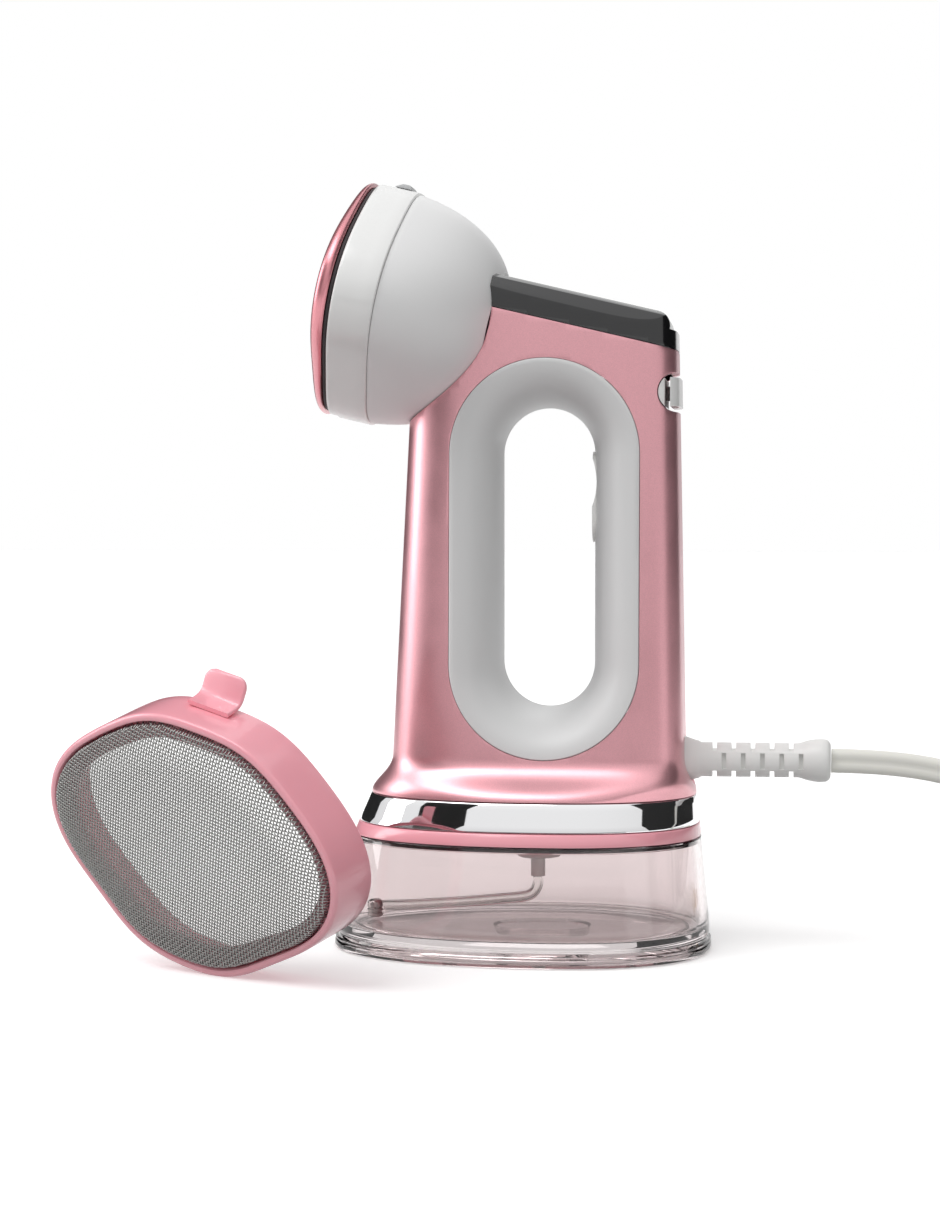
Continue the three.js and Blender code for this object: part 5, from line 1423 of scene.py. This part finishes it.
def guard_form(name, rows, loop=False):
    """A form on the guard's outline: rows of (y, grow) or (y, grow, share)."""
    rings = []
    for row in rows:
        if row[1] is None:
            rings.append([GUARD_PLACE @ Vector((0, row[0] * MM, 0))])
            continue
        share = row[2] if len(row) > 2 else 1.0
        radii = [head_radius(a) * share + row[1] for a in HEAD_ANGLES]
        rings.append([GUARD_PLACE @ (MM * Vector((r * math.sin(a), row[0], r * math.cos(a))))
                      for r, a in zip(radii, HEAD_ANGLES)])
    return skin(name, rings, loop)


front_edge = [(1.3 - 1.3 * math.sin(a), GUARD_OUTSIDE - 1.3 + 1.3 * math.cos(a))
              for a in (math.radians(d) for d in (0, 15, 30, 45, 60, 75, 90))]
frame_rows = front_edge + [
    (0, 0.9), (0.12, 0.5), (0.5, 0.2), (1.2, 0.1), (3.2, 0.1),
    (4.4, GUARD_INSIDE), (10, GUARD_INSIDE), (GUARD_DEEP - 0.4, GUARD_INSIDE),
    (GUARD_DEEP, GUARD_INSIDE + 0.35), (GUARD_DEEP, GUARD_OUTSIDE + 0.1),
    (GUARD_DEEP - 0.15, GUARD_OUTSIDE + 0.32), (GUARD_DEEP - 0.5, GUARD_OUTSIDE + 0.4),
    (13, GUARD_OUTSIDE + 0.3), (8, GUARD_OUTSIDE + 0.2), (4, GUARD_OUTSIDE + 0.08),
]
rim = settle(guard_form("guard_rim", frame_rows, loop=True), sharp=35)
wear(rim, "guard", rose_gloss, "rose_gloss", "guard_frame")

ring_rows = [(3.3, -0.6), (3.3, -5.8), (3.5, -6), (4.8, -6), (5, -5.8), (5, GUARD_INSIDE - 0.3),
             (4.6, GUARD_INSIDE - 0.3), (3.5, -0.6)]
wear(settle(guard_form("mesh_ring", ring_rows, loop=True)), "guard", rose_gloss, "rose_gloss", "guard_ring")

MESH_PITCH = 1.05
MESH_WIRE_R = 0.27
MESH_FLAT = -3.4  # how proud the flat middle stands
MESH_DEEP = -0.6  # depth where the slope meets the rolled edge
MESH_BORDER = 13  # width of the slope
MESH_ROLL = 1.6  # width of the rolled edge
MESH_TURN = 3.2  # how far it turns back
MESH_TRIM = 0.15  # the wires end this far inside the head's outline
MESH_WIRES = 105  # each way, before they are trimmed


class Sums:
    """Short hand for the math nodes of one tree."""

    def __init__(self, tree):
        self.tree = tree

    def do(self, operation, *values):
        node = self.tree.nodes.new("ShaderNodeMath")
        node.operation = operation
        for socket, value in zip(node.inputs, values):
            if isinstance(value, (int, float)):
                socket.default_value = value
            else:
                self.tree.links.new(value, socket)
        return node.outputs[0]


def wire_cloth(material):
    """One set of parallel wavy wires, trimmed to the head's outline and bent to the mesh's
    form. Cross is 0 for the wires that run up and 1 for those that run across."""
    sizes = [("Pitch", "NodeSocketFloat"), ("Wire Radius", "NodeSocketFloat"), ("Cross", "NodeSocketInt"),
             ("Count", "NodeSocketInt")]
    tree, given, out = tree_with("wire_cloth", sizes)
    do = Sums(tree).do
    grid = tree.nodes.new("GeometryNodeMeshGrid")
    count = given.outputs["Count"]
    half_steps = do("SUBTRACT", do("MULTIPLY", count, 2), 1)
    pitch = given.outputs["Pitch"]
    span = do("MULTIPLY", pitch, do("SUBTRACT", count, 1))
    for socket, value in (("Size X", span), ("Size Y", span), ("Vertices X", count),
                          ("Vertices Y", half_steps)):
        tree.links.new(value, grid.inputs[socket])

    # of the grid's edges only those along a wire stay
    ends = tree.nodes.new("GeometryNodeInputMeshEdgeVertices")
    gap = tree.nodes.new("ShaderNodeVectorMath")
    gap.operation = "SUBTRACT"
    tree.links.new(ends.outputs["Position 1"], gap.inputs[0])
    tree.links.new(ends.outputs["Position 2"], gap.inputs[1])
    split = tree.nodes.new("ShaderNodeSeparateXYZ")
    tree.links.new(gap.outputs["Vector"], split.inputs["Vector"])
    rungs = tree.nodes.new("GeometryNodeDeleteGeometry")
    rungs.domain = "EDGE"
    tree.links.new(grid.outputs["Mesh"], rungs.inputs["Geometry"])
    tree.links.new(do("GREATER_THAN", do("ABSOLUTE", split.outputs["X"]), 0.0001), rungs.inputs["Selection"])

    # a point's own wire and its place along it, then across and up on the guard
    where = tree.nodes.new("GeometryNodeInputPosition")
    flat = tree.nodes.new("ShaderNodeSeparateXYZ")
    tree.links.new(where.outputs["Position"], flat.inputs["Vector"])
    side, run = flat.outputs["X"], flat.outputs["Y"]
    cross = given.outputs["Cross"]
    across = do("ADD", do("MULTIPLY", side, do("SUBTRACT", 1, cross)), do("MULTIPLY", run, cross))
    up = do("ADD", do("MULTIPLY", run, do("SUBTRACT", 1, cross)), do("MULTIPLY", side, cross))
    reach = do("SQRT", do("ADD", do("MULTIPLY", across, across), do("MULTIPLY", up, up)))
    angle = do("ARCTAN2", across, up)
    outline = (HEAD_MEAN - MESH_TRIM) * MM
    for waves, amount in HEAD_WAVES[1:]:
        ripple = do("COSINE", do("MULTIPLY", angle, waves))
        outline = do("ADD", outline, do("MULTIPLY", amount * MM, ripple))

    # the form: flat in the middle, a sloping border, and the weave's wave on top
    inward = do("SUBTRACT", outline, reach)
    slope = do("MAXIMUM", 0, do("SUBTRACT", 1, do("DIVIDE", inward, MESH_BORDER * MM)))
    depth = do("ADD", MESH_FLAT * MM, do("MULTIPLY", (MESH_DEEP - MESH_FLAT) * MM, do("POWER", slope, 2)))
    roll = do("MAXIMUM", 0, do("SUBTRACT", 1, do("DIVIDE", inward, MESH_ROLL * MM)))
    depth = do("ADD", depth, do("MULTIPLY", MESH_TURN * MM, do("POWER", roll, 2)))
    turn = do("DIVIDE", math.pi, pitch)
    beat = do("MULTIPLY", do("COSINE", do("MULTIPLY", side, turn)), do("COSINE", do("MULTIPLY", run, turn)))
    sign = do("SUBTRACT", 1, do("MULTIPLY", cross, 2))
    wave = do("MULTIPLY", do("MULTIPLY", beat, sign), given.outputs["Wire Radius"])
    bent = tree.nodes.new("ShaderNodeCombineXYZ")
    tree.links.new(across, bent.inputs["X"])
    tree.links.new(do("ADD", depth, wave), bent.inputs["Y"])
    tree.links.new(up, bent.inputs["Z"])
    trim = tree.nodes.new("GeometryNodeDeleteGeometry")
    tree.links.new(rungs.outputs["Geometry"], trim.inputs["Geometry"])
    tree.links.new(do("GREATER_THAN", reach, outline), trim.inputs["Selection"])
    move = tree.nodes.new("GeometryNodeSetPosition")
    tree.links.new(trim.outputs["Geometry"], move.inputs["Geometry"])
    tree.links.new(bent.outputs["Vector"], move.inputs["Position"])

    # wires of real thickness
    lines = tree.nodes.new("GeometryNodeMeshToCurve")
    tree.links.new(move.outputs["Geometry"], lines.inputs["Mesh"])
    ring = tree.nodes.new("GeometryNodeCurvePrimitiveCircle")
    ring.inputs["Resolution"].default_value = 4
    tree.links.new(given.outputs["Wire Radius"], ring.inputs["Radius"])
    wires = tree.nodes.new("GeometryNodeCurveToMesh")
    wires.inputs["Fill Caps"].default_value = True
    tree.links.new(lines.outputs["Curve"], wires.inputs["Curve"])
    tree.links.new(ring.outputs["Curve"], wires.inputs["Profile Curve"])
    smooth = tree.nodes.new("GeometryNodeSetShadeSmooth")
    tree.links.new(wires.outputs["Mesh"], smooth.inputs["Geometry"])
    end_tree(tree, smooth.outputs["Geometry"], out, material)
    return tree


mesh_steel = finish("mesh_steel", linear(150, 150, 148), 0.3, Metallic=1.0)
vary(mesh_steel, "Roughness", texture(mesh_steel, 800), 0.22, 0.42)
cloth = wire_cloth(mesh_steel)
for name, cross in (("mesh_warp", 0), ("mesh_weft", 1)):
    wires = grown(name, cloth, Pitch=MESH_PITCH * MM, Wire_Radius=MESH_WIRE_R * MM, Cross=cross,
                  Count=MESH_WIRES)
    wires.data.transform(GUARD_PLACE)
    wear(wires, "guard", mesh_steel, "mesh", "guard_mesh")

TAB_WIDE = 16
TAB_ASIDE = -3.5
TAB_THICK = 1.5
TAB_CORNER = 3.6


def tab():
    """A thin tongue that leaves the frame's edge, sweeps up and rolls back at its tip."""
    z = head_radius(0) + GUARD_OUTSIDE + 1.5
    y = GUARD_DEEP - 0.4
    spine = [(y - 7, z - 0.3), (y - 4, z), (y - 1.6, z + 0.6), (y, z + 2), (y + 1, z + 4.2),
             (y + 1.9, z + 6.6), (y + 2.9, z + 8.6)]
    line, run = through([Vector((0, *p)) for p in spine], 0.45)
    rings = []
    for i, p in enumerate(line):
        ahead = (line[min(i + 1, len(line) - 1)] - line[max(i - 1, 0)]).normalized()
        over = Vector((0, -ahead.z, ahead.y))
        left = max(0.02, run * (1 - i / (len(line) - 1)))
        short = max(0.0, TAB_CORNER - left)
        half = TAB_WIDE / 2 - TAB_CORNER + math.sqrt(TAB_CORNER ** 2 - short ** 2)
        thick = TAB_THICK / 2 * min(1, 0.55 + left / 1.5)
        ring = []
        for k in range(24):
            a = 2 * math.pi * k / 24
            side = half - thick + thick * abs(math.cos(a))
            ring.append(GUARD_PLACE @ (MM * (p + Vector((TAB_ASIDE + math.copysign(side, math.cos(a)), 0, 0))
                                             + over * thick * math.sin(a))))
        rings.append(ring)
    return skin("release_tab", [[sum(rings[0], Vector()) / 24], *rings, [sum(rings[-1], Vector()) / 24]])


wear(settle(tab(), sharp=60), "guard_tab", rose_gloss, "rose_gloss", "guard_tab")

bpy.context.view_layer.update()
